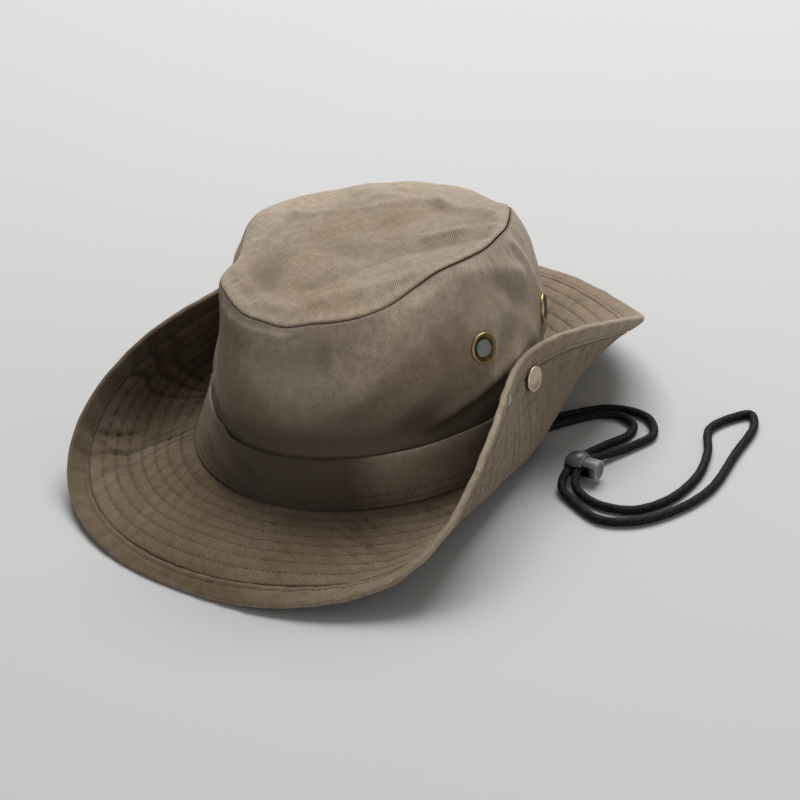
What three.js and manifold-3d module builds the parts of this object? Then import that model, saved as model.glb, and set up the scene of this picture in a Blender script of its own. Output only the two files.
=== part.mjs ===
// Bush hat, in millimetres: +X is the wearer's left, the front is at -Y, +Z is up.
// It rests by itself on the plane Z = 0, on the front of its brim and on the seam at the back.
// Both sides of the brim are snapped up to the crown, and the chin cord lies beside the hat.
import * as THREE from "three";
import { mergeVertices } from "three/addons/utils/BufferGeometryUtils.js";
import Module from "manifold-3d";

// Crown
const CROWN_LENGTH = 200;
const CROWN_WIDTH = 169.4;
const CROWN_HEIGHT = 100;
const TOP_INSET = 17;
const WALL_SWELL = 3.6;
const TOP_DOME = 3;
const TOP_TAUTNESS = 1.7;
const CROWN_CLOTH = 1.5;

// Band round the foot of the crown
const BAND_HEIGHT = 31;
const BAND_CLOTH = 1.5;
const BAND_GAPE = 1.2;
const FOOT_FADE = 3;

// Brim
const BRIM_WIDTH = 67;
const BRIM_CLOTH = 2.4;
const HEM_WIDTH = 10.5;
const HEM_CLOTH = 3;
const BRIM_ROOT = 5;
const BEND_LENGTH = 20;

// How it rests: the crown leans back a little, and the cloth is pressed flat where it meets the floor
const LEAN = THREE.MathUtils.degToRad(3.7);
const SEAM_HEIGHT = 5.7;
const SOFTNESS = 1;
const PRESSED = 0.4;

// Vent eyelets and snaps
const EYELET_OUTER = 15.5;
const EYELET_BORE = 8.8;
const EYELET_WALL = 0.6;
const EYELET_RISE = 1.1;
const SCREEN_THICKNESS = 0.5;
const SNAP_CAP = 13;
const SNAP_CAP_RISE = 1.9;
const SNAP_STUD = 6;
const SNAP_FROM_EDGE = 14;

// Chin cord, its tabs and its lock
const CORD = 4.6;
const TAB_WIDTH = 10;
const TAB_HEIGHT = 11;
const TAB_CLOTH = 3;
const TAB_LIFT = 11.5;
const LOCK_BALL = 14.4;
const LOCK_BUTTON = 10.2;
const LOCK_BUTTON_END = 11.8;
const LOCK_TRAVEL = 3;
const LOCK_STRANDS_APART = 5.2;
const LOCK_MOUTH_WALL = 0.7;

// Clearances between pieces
const SEAM_GAP = 0.35;
const RUNNING_GAP = 0.3;
const CORD_GAP = 0.5;
const SEAT_GAP = 0.7;
const SNAP_GAP = 0.9;

// How finely the cloth is divided round the hat, and its slope followed across the brim
const COLUMNS = 60;
const SLOPE_STEPS = 24;

// The tables run round the hat in even steps: back, wearer's left, front, wearer's right.
// Shares: inset of TOP_INSET, height of CROWN_HEIGHT, swell of WALL_SWELL, lift of CORD.
// A high shoulder keeps the wall upright for longer before it turns in to the top seam.
const CROWN_ROWS = [
  { inset: 0.98, height: 1.0, swell: 1.0, shoulder: 2.0, lift: 0 },
  { inset: 1.0, height: 1.02, swell: 0.7, shoulder: 3.5, lift: 0 },
  { inset: 1.02, height: 1.1, swell: 0.35, shoulder: 4.5, lift: 0.75 },
  { inset: 0.98, height: 1.12, swell: 1.0, shoulder: 4.0, lift: 0 },
  { inset: 1.28, height: 1.05, swell: 1.05, shoulder: 2.5, lift: 0 },
  { inset: 0.58, height: 0.99, swell: 1.0, shoulder: 1.5, lift: 0 },
  { inset: 0.55, height: 0.96, swell: 1.0, shoulder: 1.2, lift: 0 },
  { inset: 0.82, height: 0.99, swell: -1.0, shoulder: 1.2, lift: 0 },
  { inset: 1.43, height: 0.94, swell: -1.0, shoulder: 1.2, lift: 0 },
  { inset: 1.09, height: 1.02, swell: 1.0, shoulder: 1.5, lift: 0 },
  { inset: 1.05, height: 0.99, swell: 1.0, shoulder: 1.5, lift: 0 },
  { inset: 1.03, height: 1.0, swell: 1.1, shoulder: 1.5, lift: 0 },
];

// The brim leaves the seam at one slope and ends at another, in degrees up from level.
// The bend between them is centred at a share of BRIM_WIDTH.
const BRIM_ROWS = [
  { leaves: 31, ends: -6, bend: 0.77 },
  { leaves: 39, ends: 9, bend: 0.59 },
  { leaves: 43, ends: 55, bend: 0.14 },
  { leaves: 20, ends: 95, bend: 0.12 },
  { leaves: -6, ends: 74, bend: 0.32 },
  { leaves: -5, ends: -2, bend: 0.72 },
  { leaves: -4, ends: -53, bend: 0.77 },
  { leaves: -10, ends: -8, bend: 0.75 },
  { leaves: -15, ends: 79, bend: 0.44 },
  { leaves: 3, ends: 106, bend: 0.16 },
  { leaves: 16, ends: 60, bend: 0.18 },
  { leaves: 16, ends: 4, bend: 0.63 },
];

// Vent eyelets: angle round the hat from the back, and the share of the wall's height
const EYELETS = [
  { name: "left_front", degrees: 104, share: 0.65 },
  { name: "left_back", degrees: 68, share: 0.57 },
  { name: "right_front", degrees: 256, share: 0.65 },
  { name: "right_back", degrees: 292, share: 0.57 },
];
const SIDES = [
  { name: "left", degrees: 90 },
  { name: "right", degrees: 270 },
];

// Materials
const twill = new THREE.MeshStandardMaterial({ color: 0x857663, roughness: 0.95, metalness: 0 });
const brass = new THREE.MeshStandardMaterial({ color: 0x8a7448, roughness: 0.4, metalness: 1 });
const steelMesh = new THREE.MeshStandardMaterial({ color: 0x8d8f92, roughness: 0.6, metalness: 0.7 });
const braid = new THREE.MeshStandardMaterial({ color: 0x17171a, roughness: 0.85, metalness: 0 });
const plastic = new THREE.MeshStandardMaterial({ color: 0x2b2d31, roughness: 0.5, metalness: 0 });

// A smooth closed curve through one column of a table
function around(rows, column, angle) {
  const place = (angle / (2 * Math.PI)) * rows.length;
  const first = Math.floor(place);
  const t = place - first;
  const value = (step) => rows[(((first + step) % rows.length) + rows.length) % rows.length][column];
  const [a, b, c, d] = [value(-1), value(0), value(1), value(2)];
  return b + 0.5 * t * (c - a + t * (2 * a - 5 * b + 4 * c - d + t * (3 * (b - c) + d - a)));
}

function smoothstep(low, high, value) {
  const t = THREE.MathUtils.clamp((value - low) / (high - low), 0, 1);
  return t * t * (3 - 2 * t);
}

// The seam between crown and brim is an oval, and every sheet is measured outward from it
function seamPoint(angle) {
  const x = (CROWN_WIDTH / 2) * Math.sin(angle);
  const y = (CROWN_LENGTH / 2) * Math.cos(angle);
  return new THREE.Vector3(x, y, around(CROWN_ROWS, "lift", angle) * CORD);
}

function outward(angle) {
  return new THREE.Vector3(Math.sin(angle) / CROWN_WIDTH, Math.cos(angle) / CROWN_LENGTH, 0).normalize();
}

// From the hat's own level to the floor: lean back about the X axis, then stand at the seam's height
function lean(point) {
  const y = point.y * Math.cos(LEAN) + point.z * Math.sin(LEAN);
  const z = point.z * Math.cos(LEAN) - point.y * Math.sin(LEAN) + SEAM_HEIGHT;
  return new THREE.Vector3(point.x, y, z);
}

// Cloth that would sink into the floor lies on it instead, with a soft turn
function layOnFloor(point, cloth) {
  const lowest = cloth / 2 - PRESSED;
  const above = point.z - lowest;
  point.z = lowest + (above + Math.sqrt(above * above + SOFTNESS * SOFTNESS)) / 2;
  return point;
}

// Slope of the brim at a distance from the seam
function brimSlope(angle, run) {
  const leaves = around(BRIM_ROWS, "leaves", angle);
  const ends = around(BRIM_ROWS, "ends", angle);
  const centre = around(BRIM_ROWS, "bend", angle) * BRIM_WIDTH;
  const turn = (distance) => 1 / (1 + Math.exp((-4 * (distance - centre)) / BEND_LENGTH));
  const share = (turn(run) - turn(0)) / (turn(BRIM_WIDTH) - turn(0));
  const slope = THREE.MathUtils.degToRad(leaves + (ends - leaves) * share);
  return slope * smoothstep(0, BRIM_ROOT, run);
}

// Middle of the brim's cloth, run millimetres out from the seam along the cloth
function brimMiddle(angle, run, cloth) {
  const steps = SLOPE_STEPS;
  let out = Math.min(run, 0);
  let up = 0;
  for (let k = 0; k < steps && run > 0; k += 1) {
    const slope = brimSlope(angle, ((k + 0.5) / steps) * run);
    out += (Math.cos(slope) * run) / steps;
    up += (Math.sin(slope) * run) / steps;
  }
  const point = seamPoint(angle).addScaledVector(outward(angle), out);
  point.z += up;
  return layOnFloor(lean(point), cloth);
}

// Outer face of the crown: share runs from the seam with the brim, 0, to the top seam, 1
function crownFace(angle, share, setBack) {
  const inset = around(CROWN_ROWS, "inset", angle) * TOP_INSET;
  const height = around(CROWN_ROWS, "height", angle) * CROWN_HEIGHT;
  const swell = around(CROWN_ROWS, "swell", angle) * WALL_SWELL;
  const shoulder = around(CROWN_ROWS, "shoulder", angle);
  const out = swell * 4 * share * (1 - share) - inset * Math.max(share, 0) ** shoulder - setBack;
  const point = seamPoint(angle).addScaledVector(outward(angle), out);
  point.z += height * share;
  const leaned = lean(point);
  // The foot of the wall stands on the brim's inner edge, wherever the floor has pressed that
  const foot = brimMiddle(angle, -setBack, BRIM_CLOTH).z + BRIM_CLOTH / 2 + SEAM_GAP;
  const lowest = lean(seamPoint(angle)).z;
  leaned.z += (foot - lowest) * (1 - share) ** FOOT_FADE;
  return leaned;
}

// The wall's cloth lies behind the band and comes forward above it
function wallMiddle(angle, share) {
  const behindBand = BAND_CLOTH + SEAM_GAP;
  const bandShare = BAND_HEIGHT / CROWN_HEIGHT;
  const forward = smoothstep(bandShare, 2 * bandShare, share);
  return crownFace(angle, share, CROWN_CLOTH / 2 + behindBand * (1 - forward));
}

// The band gapes a little at its top edge
function bandMiddle(angle, height) {
  const gape = BAND_GAPE * smoothstep(0.5, 1, height / BAND_HEIGHT);
  return crownFace(angle, height / CROWN_HEIGHT, BAND_CLOTH / 2 - gape);
}

// The top panel spans the top seam like a stretched cloth: reach is 0 at its middle, 1 at its edge
function topMiddle(angle, reach) {
  const middle = lean(new THREE.Vector3(0, 0, CROWN_HEIGHT + TOP_DOME));
  const edge = crownFace(angle, 1, CROWN_CLOTH + SEAM_GAP);
  const point = middle.clone().lerp(edge, reach);
  point.z = THREE.MathUtils.lerp(middle.z, edge.z - CROWN_CLOTH / 2, reach ** TOP_TAUTNESS);
  return point;
}

// Unit normal of a sheet given by its middle surface
function sheetNormal(middle, angle, run) {
  const turn = 0.004;
  const step = 0.002 * Math.max(1, Math.abs(run));
  const alongAngle = middle(angle + turn, run).sub(middle(angle - turn, run));
  const alongRun = middle(angle, run + step).sub(middle(angle, run - step));
  return alongRun.cross(alongAngle).normalize();
}

function closedGeometry(points, faces) {
  const geometry = new THREE.BufferGeometry();
  geometry.setAttribute("position", new THREE.Float32BufferAttribute(points.flatMap((p) => p.toArray()), 3));
  let sixVolumes = 0;
  for (const [a, b, c] of faces) {
    sixVolumes += points[a].dot(points[b].clone().cross(points[c]));
  }
  const outwardFaces = sixVolumes > 0 ? faces : faces.map(([a, b, c]) => [a, c, b]);
  geometry.setIndex(outwardFaces.flat());
  geometry.computeVertexNormals();
  return geometry;
}

// A ring of cloth: two faces either side of its middle surface, joined along both edges
function ringSheet(middle, cloth, runs) {
  const points = [];
  for (let column = 0; column < COLUMNS; column += 1) {
    const angle = (column / COLUMNS) * 2 * Math.PI;
    for (const run of runs) {
      const centre = middle(angle, run);
      const normal = sheetNormal(middle, angle, run);
      for (const side of [cloth / 2, -cloth / 2]) {
        const point = centre.clone().addScaledVector(normal, side);
        point.z = Math.max(point.z, 0);
        points.push(point);
      }
    }
  }
  const index = (column, run, side) => ((column % COLUMNS) * runs.length + run) * 2 + side;
  const faces = [];
  const quad = (a, b, c, d) => faces.push([a, b, c], [a, c, d]);
  const last = runs.length - 1;
  for (let c = 0; c < COLUMNS; c += 1) {
    for (let r = 0; r < last; r += 1) {
      quad(index(c, r, 0), index(c + 1, r, 0), index(c + 1, r + 1, 0), index(c, r + 1, 0));
      quad(index(c, r, 1), index(c, r + 1, 1), index(c + 1, r + 1, 1), index(c + 1, r, 1));
    }
    quad(index(c, 0, 0), index(c, 0, 1), index(c + 1, 0, 1), index(c + 1, 0, 0));
    quad(index(c, last, 0), index(c + 1, last, 0), index(c + 1, last, 1), index(c, last, 1));
  }
  return closedGeometry(points, faces);
}

// A round panel: rings about a middle point, on both faces
function panelSheet(middle, cloth, reaches) {
  const centre = middle(0, 0);
  const half = new THREE.Vector3(0, 0, cloth / 2);
  const points = [centre.clone().add(half), centre.clone().sub(half)];
  for (let column = 0; column < COLUMNS; column += 1) {
    const angle = (column / COLUMNS) * 2 * Math.PI;
    for (const reach of reaches) {
      const point = middle(angle, reach);
      points.push(point.clone().add(half), point.clone().sub(half));
    }
  }
  const index = (column, ring, side) => 2 + ((column % COLUMNS) * reaches.length + ring) * 2 + side;
  const faces = [];
  const quad = (a, b, c, d) => faces.push([a, b, c], [a, c, d]);
  const last = reaches.length - 1;
  for (let c = 0; c < COLUMNS; c += 1) {
    faces.push([0, index(c + 1, 0, 0), index(c, 0, 0)], [1, index(c, 0, 1), index(c + 1, 0, 1)]);
    for (let r = 0; r < last; r += 1) {
      quad(index(c, r, 0), index(c + 1, r, 0), index(c + 1, r + 1, 0), index(c, r + 1, 0));
      quad(index(c, r, 1), index(c, r + 1, 1), index(c + 1, r + 1, 1), index(c + 1, r, 1));
    }
    quad(index(c, last, 0), index(c + 1, last, 0), index(c + 1, last, 1), index(c, last, 1));
  }
  return closedGeometry(points, faces);
}

// Joins and cuts of closed meshes
const wasm = await Module();
wasm.setup();

function toManifold(geometry, matrix = new THREE.Matrix4()) {
  const bare = geometry.clone().applyMatrix4(matrix);
  bare.deleteAttribute("normal");
  bare.deleteAttribute("uv");
  const merged = mergeVertices(bare, 1e-4);
  const vertProperties = new Float32Array(merged.attributes.position.array);
  const triVerts = new Uint32Array(merged.index.array);
  return new wasm.Manifold(new wasm.Mesh({ numProp: 3, vertProperties, triVerts }));
}

function fromManifold(solid) {
  const mesh = solid.getMesh();
  const geometry = new THREE.BufferGeometry();
  geometry.setAttribute("position", new THREE.Float32BufferAttribute(Array.from(mesh.vertProperties), 3));
  geometry.setIndex(Array.from(mesh.triVerts));
  geometry.computeVertexNormals();
  return geometry;
}

// A place on a sheet, with +Z along its normal, distance millimetres off its middle surface
function placeOn(middle, angle, run, distance) {
  const normal = sheetNormal(middle, angle, run);
  const point = middle(angle, run).addScaledVector(normal, distance);
  const across = new THREE.Vector3(0, 0, 1).cross(normal).normalize();
  const up = normal.clone().cross(across);
  return new THREE.Matrix4().makeBasis(across, up, normal).setPosition(point);
}

function lathe(profile, segments) {
  const points = profile.map(([radius, height]) => new THREE.Vector2(radius, height));
  return new THREE.LatheGeometry(points, segments).rotateX(Math.PI / 2);
}

function addMesh(group, name, geometry, material, matrix) {
  const mesh = new THREE.Mesh(geometry, material);
  mesh.name = name;
  if (matrix) {
    mesh.applyMatrix4(matrix);
  }
  group.add(mesh);
}

const bushHat = new THREE.Group();
const hat = new THREE.Group();
bushHat.add(hat);

// Vent eyelets stand on the wall, with their barrels through its holes
const eyeletSeat = CROWN_CLOTH / 2 + SEAT_GAP;
const barrelDepth = eyeletSeat + CROWN_CLOTH / 2 + SEAM_GAP;
const barrelRadius = EYELET_BORE / 2 + EYELET_WALL;
const eyeletPlaces = EYELETS.map(({ name, degrees, share }) => {
  const angle = THREE.MathUtils.degToRad(degrees);
  return { name, matrix: placeOn(wallMiddle, angle, share, eyeletSeat) };
});

function crownWall() {
  const shares = [0, 0.14, 0.3, 0.45, 0.6, 0.75, 0.88, 1];
  let wall = toManifold(ringSheet(wallMiddle, CROWN_CLOTH, shares));
  const holeRadius = barrelRadius + SEAM_GAP;
  const drill = new THREE.CylinderGeometry(holeRadius, holeRadius, 4 * barrelDepth, 16).rotateX(Math.PI / 2);
  for (const { matrix } of eyeletPlaces) {
    wall = wall.subtract(toManifold(drill, matrix));
  }
  return fromManifold(wall);
}

function eyelet() {
  const bore = EYELET_BORE / 2;
  const flange = EYELET_OUTER / 2;
  return lathe([
    [bore, -barrelDepth],
    [barrelRadius, -barrelDepth],
    [barrelRadius, 0],
    [flange, 0],
    [flange - 0.3 * EYELET_RISE, 0.7 * EYELET_RISE],
    [(flange + bore) / 2, EYELET_RISE],
    [bore, 0.4 * EYELET_RISE],
    [bore, -barrelDepth],
  ], 16);
}

function ventScreen() {
  const radius = EYELET_BORE / 2 - RUNNING_GAP;
  return new THREE.CylinderGeometry(radius, radius, SCREEN_THICKNESS, 12).rotateX(Math.PI / 2);
}

// Snap caps sit on the under face of the turned-up brim, and studs bridge it to the crown
function snapCap() {
  const radius = SNAP_CAP / 2;
  return lathe([
    [0, 0],
    [0.96 * radius, 0],
    [radius, 0.3 * SNAP_CAP_RISE],
    [0.88 * radius, 0.72 * SNAP_CAP_RISE],
    [0.5 * radius, SNAP_CAP_RISE],
    [0, SNAP_CAP_RISE],
  ], 16);
}

// The share of the wall's height at which the crown's face has a given height above the floor
function wallShareAt(angle, height) {
  let [low, high] = [0, 1];
  for (let k = 0; k < 24; k += 1) {
    const middle = (low + high) / 2;
    if (wallMiddle(angle, middle).z < height) {
      low = middle;
    } else {
      high = middle;
    }
  }
  return (low + high) / 2;
}

function cordTab() {
  return new THREE.BoxGeometry(TAB_WIDTH, TAB_HEIGHT, TAB_CLOTH);
}

// The cord's route: left tab, lock, round the loop, back through the lock, under the hat, right tab
const CORD_REST = CORD / 2 + 0.1;
const LOCK_PLACE = new THREE.Vector3(117.8, 8, LOCK_BALL / 2 + 0.05);
const LEFT_STRAND = LOCK_PLACE.x - LOCK_STRANDS_APART / 2;
const RIGHT_STRAND = LOCK_PLACE.x + LOCK_STRANDS_APART / 2;
const LOCK_LEVEL = LOCK_PLACE.z - 0.2;
const CORD_ROUTE = [
  [76.6, 8, 11],
  [75.4, 14, 3.2],
  [80.3, 31, CORD_REST],
  [90, 47, CORD_REST],
  [101, 61, CORD_REST],
  [112, 65, CORD_REST],
  [122, 60, CORD_REST],
  [123.5, 50, CORD_REST],
  [117.5, 36, CORD_REST],
  [LEFT_STRAND, 24, 4.4],
  [LEFT_STRAND, 15, LOCK_LEVEL],
  [LEFT_STRAND, 1, LOCK_LEVEL],
  [117, -8, 3.8],
  [129, -16.5, CORD_REST],
  [146, -23, CORD_REST],
  [162, -16, CORD_REST],
  [175, 3, CORD_REST],
  [181, 25, CORD_REST],
  [178.5, 60, CORD_REST],
  [176, 88, CORD_REST],
  [170, 97, CORD_REST],
  [163.5, 90.5, CORD_REST],
  [157.5, 75, CORD_REST],
  [166, 54, CORD_REST],
  [170.5, 32, CORD_REST],
  [167, 7, CORD_REST],
  [156, -8.5, CORD_REST],
  [139, -12, CORD_REST],
  [124.5, -6.5, 3.8],
  [RIGHT_STRAND, 1, LOCK_LEVEL],
  [RIGHT_STRAND, 15, LOCK_LEVEL],
  [122, 24, 4.4],
  [130, 42, CORD_REST],
  [134.5, 57, CORD_REST],
  [124, 70.5, CORD_REST],
  [104, 69.5, CORD_REST],
  [76.5, 41, CORD_REST],
  [50, 10, CORD_REST],
  [-10, -3, CORD_REST],
  [-72, 2, 3],
  [-76.6, 8, 11],
];

// A smooth curve through the route that never sinks below the cord's rest height.
// It steps evenly from point to point, so the tube is finest where the points are closest.
class CordCurve extends THREE.CatmullRomCurve3 {
  getPoint(t, target) {
    const point = super.getPoint(t, target);
    point.z = Math.max(point.z, CORD_REST);
    return point;
  }

  getUtoTmapping(u) {
    return u;
  }
}

function chinCord() {
  const points = CORD_ROUTE.map(([x, y, z]) => new THREE.Vector3(x, y, z));
  const path = new CordCurve(points, false, "centripetal");
  const section = new THREE.Shape(new THREE.EllipseCurve(0, 0, CORD / 2, CORD / 2).getPoints(8).slice(0, 8));
  return new THREE.ExtrudeGeometry(section, { steps: 2 * (points.length - 1), extrudePath: path });
}

// The lock's ball has a mouth for the button on +X and a slot along Y for the two strands
const strandReach = LOCK_STRANDS_APART / 2 + CORD / 2 + CORD_GAP;
const slotHeight = CORD + 2 * CORD_GAP;
const buttonBore = LOCK_BUTTON / 2 + RUNNING_GAP;
const mouth = Math.sqrt((LOCK_BALL / 2) ** 2 - (buttonBore + LOCK_MOUTH_WALL) ** 2);
const boreBottom = -Math.sqrt((LOCK_BALL / 2 - LOCK_MOUTH_WALL) ** 2 - buttonBore ** 2);

function boxBetween(x0, x1, width, height) {
  return new THREE.BoxGeometry(x1 - x0, width, height).translate((x0 + x1) / 2, 0, 0);
}

function rodBetween(x0, x1, radius) {
  const rod = new THREE.CylinderGeometry(radius, radius, x1 - x0, 20);
  return rod.rotateZ(Math.PI / 2).translate((x0 + x1) / 2, 0, 0);
}

function lockBody() {
  const ball = new THREE.SphereGeometry(LOCK_BALL / 2, 20, 12).rotateZ(Math.PI / 2);
  const solid = toManifold(ball)
    .subtract(toManifold(boxBetween(mouth, LOCK_BALL, LOCK_BALL, LOCK_BALL)))
    .subtract(toManifold(rodBetween(boreBottom, LOCK_BALL, buttonBore)))
    .subtract(toManifold(boxBetween(-strandReach, strandReach, 2 * LOCK_BALL, slotHeight)));
  return fromManifold(solid);
}

// The button is a rod with two prongs that reach into the ball above and below the strands
function lockButton() {
  const tip = boreBottom + RUNNING_GAP + LOCK_TRAVEL;
  const rod = toManifold(rodBetween(tip, LOCK_BUTTON_END, LOCK_BUTTON / 2));
  const slotEnd = strandReach + LOCK_TRAVEL;
  return fromManifold(rod.subtract(toManifold(boxBetween(-LOCK_BALL, slotEnd, LOCK_BALL, slotHeight))));
}

// Cloth
const brimEdge = BRIM_WIDTH - HEM_WIDTH;
const tuck = BAND_CLOTH + SEAM_GAP + CROWN_CLOTH;
const brimRuns = [-tuck, 0, 0.06, 0.13, 0.24, 0.38, 0.54, 0.7, 0.85, 1].map((run) => {
  return run < 0 ? run : run * (brimEdge - SEAM_GAP / 2);
});
const hemRuns = [0, 0.5, 1].map((share) => brimEdge + SEAM_GAP / 2 + share * (HEM_WIDTH - SEAM_GAP / 2));
const bandHeights = [0, 0.33, 0.67, 1].map((share) => share * BAND_HEIGHT);
const topReaches = [0.25, 0.5, 0.72, 0.9, 1];

addMesh(hat, "crown_top", panelSheet(topMiddle, CROWN_CLOTH, topReaches), twill);
addMesh(hat, "crown_wall", crownWall(), twill);
addMesh(hat, "hat_band", ringSheet(bandMiddle, BAND_CLOTH, bandHeights), twill);
addMesh(hat, "brim", ringSheet((a, r) => brimMiddle(a, r, BRIM_CLOTH), BRIM_CLOTH, brimRuns), twill);
addMesh(hat, "brim_hem", ringSheet((a, r) => brimMiddle(a, r, HEM_CLOTH), HEM_CLOTH, hemRuns), twill);

// Vents
for (const { name, matrix } of eyeletPlaces) {
  addMesh(hat, `eyelet_${name}`, eyelet(), brass, matrix);
  addMesh(hat, `vent_screen_${name}`, ventScreen(), steelMesh, matrix);
}

// Snaps and cord tabs, one of each at either side
for (const { name, degrees } of SIDES) {
  const angle = THREE.MathUtils.degToRad(degrees);
  const run = BRIM_WIDTH - SNAP_FROM_EDGE;
  const brimFace = (a, r) => brimMiddle(a, r, BRIM_CLOTH);
  const capSeat = HEM_CLOTH / 2 + SNAP_GAP;
  addMesh(hat, `snap_cap_${name}`, snapCap(), brass, placeOn(brimFace, angle, run, capSeat));

  const brimPoint = brimFace(angle, run);
  const share = wallShareAt(angle, brimPoint.z);
  const wallPoint = wallMiddle(angle, share);
  const space = brimPoint.distanceTo(wallPoint) - HEM_CLOTH / 2 - CROWN_CLOTH / 2;
  const studLength = space - 2 * SNAP_GAP;
  const stud = new THREE.CylinderGeometry(SNAP_STUD / 2, SNAP_STUD / 2, studLength, 14).rotateX(Math.PI / 2);
  const across = brimPoint.clone().sub(wallPoint).normalize();
  const studMiddle = wallPoint.clone().addScaledVector(across, CROWN_CLOTH / 2 + space / 2);
  const turned = new THREE.Quaternion().setFromUnitVectors(new THREE.Vector3(0, 0, 1), across);
  const studPlace = new THREE.Matrix4().makeRotationFromQuaternion(turned).setPosition(studMiddle);
  addMesh(hat, `snap_stud_${name}`, stud, brass, studPlace);

  const tabShare = (TAB_LIFT + TAB_HEIGHT / 2 - SEAM_HEIGHT) / CROWN_HEIGHT;
  const tabSeat = -(CROWN_CLOTH / 2 + SEAT_GAP + TAB_CLOTH / 2);
  addMesh(hat, `cord_tab_${name}`, cordTab(), twill, placeOn(wallMiddle, angle, tabShare, tabSeat));
}

// The hat's box is centred over the origin; the cord and its lock lie where they were laid
const centre = new THREE.Box3().setFromObject(hat).getCenter(new THREE.Vector3());
hat.position.set(-centre.x, -centre.y, 0);

addMesh(bushHat, "chin_cord", chinCord(), braid);
const lockMatrix = new THREE.Matrix4().makeTranslation(LOCK_PLACE.x, LOCK_PLACE.y, LOCK_PLACE.z);
addMesh(bushHat, "cord_lock_body", lockBody(), plastic, lockMatrix);
addMesh(bushHat, "cord_lock_button", lockButton(), plastic, lockMatrix);

export default bushHat;
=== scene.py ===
# %% [markdown]
# # A bush hat
#
# The hat is cloth: a round top panel, a wall, a band round its foot, and a brim of two layers
# held together by rows of stitching, with its edge folded in a hem. Both sides of the brim are
# snapped up to the crown. Metal vents let air in, and a braided chin cord runs through a lock.
# Each cloth piece is a surface worked out as a function of the angle round the hat and of the
# distance across the piece, so one idea, a grid of points, makes almost every piece here.

# %% The frame and the tools
import math

import bpy
import numpy as np
from mathutils import Matrix, Vector


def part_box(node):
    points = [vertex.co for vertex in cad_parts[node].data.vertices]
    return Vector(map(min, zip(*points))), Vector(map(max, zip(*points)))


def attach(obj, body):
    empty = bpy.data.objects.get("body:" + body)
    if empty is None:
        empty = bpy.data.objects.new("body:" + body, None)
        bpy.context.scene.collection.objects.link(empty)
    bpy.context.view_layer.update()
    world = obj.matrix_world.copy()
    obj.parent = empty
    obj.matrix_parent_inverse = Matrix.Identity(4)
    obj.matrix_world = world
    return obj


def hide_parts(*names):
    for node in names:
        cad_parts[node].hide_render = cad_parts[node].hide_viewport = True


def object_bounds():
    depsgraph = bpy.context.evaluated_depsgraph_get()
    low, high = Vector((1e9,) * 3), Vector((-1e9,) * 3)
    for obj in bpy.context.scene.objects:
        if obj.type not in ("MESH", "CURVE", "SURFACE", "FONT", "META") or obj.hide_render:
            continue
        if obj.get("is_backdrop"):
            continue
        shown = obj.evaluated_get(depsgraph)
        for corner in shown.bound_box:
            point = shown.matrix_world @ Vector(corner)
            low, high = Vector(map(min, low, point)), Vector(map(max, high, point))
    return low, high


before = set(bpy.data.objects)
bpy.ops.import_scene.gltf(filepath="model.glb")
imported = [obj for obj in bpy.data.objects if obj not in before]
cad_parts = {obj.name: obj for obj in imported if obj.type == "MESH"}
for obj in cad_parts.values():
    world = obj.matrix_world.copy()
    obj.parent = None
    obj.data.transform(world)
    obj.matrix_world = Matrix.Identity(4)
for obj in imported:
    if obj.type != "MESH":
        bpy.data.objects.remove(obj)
CAD_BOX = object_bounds()
MM = 0.001

# %% [markdown]
# ## Camera, floor and light
#
# The camera looks down at the hat from its front left, at the angle of the picture that the hat
# is made after. It stands about a metre away with a long lens, as product cameras do, which
# keeps the brim from looking stretched. One large soft lamp hangs high over the hat and behind
# it, because the top panel is the brightest cloth and the front of the wall is in shade. A dim,
# slightly warm surround and a weak lamp at the hat's left fill that shade.

# %% Camera
CAMERA_AT = Vector((529.6, -757.1, 573.3)) * MM
CAMERA_AIMS_AT = Vector((23.4, -5.6, 25.7)) * MM
CAMERA_ROLL = math.radians(-3.49)
CAMERA_LENS = 94.23
CAMERA_SENSOR = 36


def add_camera():
    data = bpy.data.cameras.new("camera")
    data.lens = CAMERA_LENS
    data.sensor_width = CAMERA_SENSOR
    data.clip_start = 0.01
    camera = bpy.data.objects.new("camera", data)
    turn = (CAMERA_AIMS_AT - CAMERA_AT).to_track_quat("-Z", "Y").to_matrix().to_4x4()
    camera.matrix_world = Matrix.Translation(CAMERA_AT) @ turn @ Matrix.Rotation(CAMERA_ROLL, 4, "Z")
    bpy.context.scene.collection.objects.link(camera)
    bpy.context.scene.camera = camera
    return camera


add_camera()
print("camera:", round((CAMERA_AT - CAMERA_AIMS_AT).length, 3), "m away")

# %% Lights
SURROUND = (1.0, 0.965, 0.92)
SURROUND_STRENGTH = 0.32
LAMPS_AIM_AT = (0, 0, 0.05)
LAMPS = {
    # name: place in metres, size in metres, watts, colour
    "overhead": ((-0.4, 1.12, 2.0), (1.8, 1.5), 86, (1.0, 0.995, 0.985)),
    "side_fill": ((1.5, -0.35, 0.35), (1.0, 0.6), 5, (1.0, 0.985, 0.96)),
}


def add_area_light(name, at, aims_at, size, watts, colour):
    data = bpy.data.lights.new(name, "AREA")
    data.shape = "RECTANGLE"
    data.size, data.size_y = size
    data.energy = watts
    data.color = colour
    lamp = bpy.data.objects.new(name, data)
    turn = (Vector(aims_at) - Vector(at)).to_track_quat("-Z", "Y").to_matrix().to_4x4()
    lamp.matrix_world = Matrix.Translation(at) @ turn
    bpy.context.scene.collection.objects.link(lamp)
    return lamp


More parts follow.
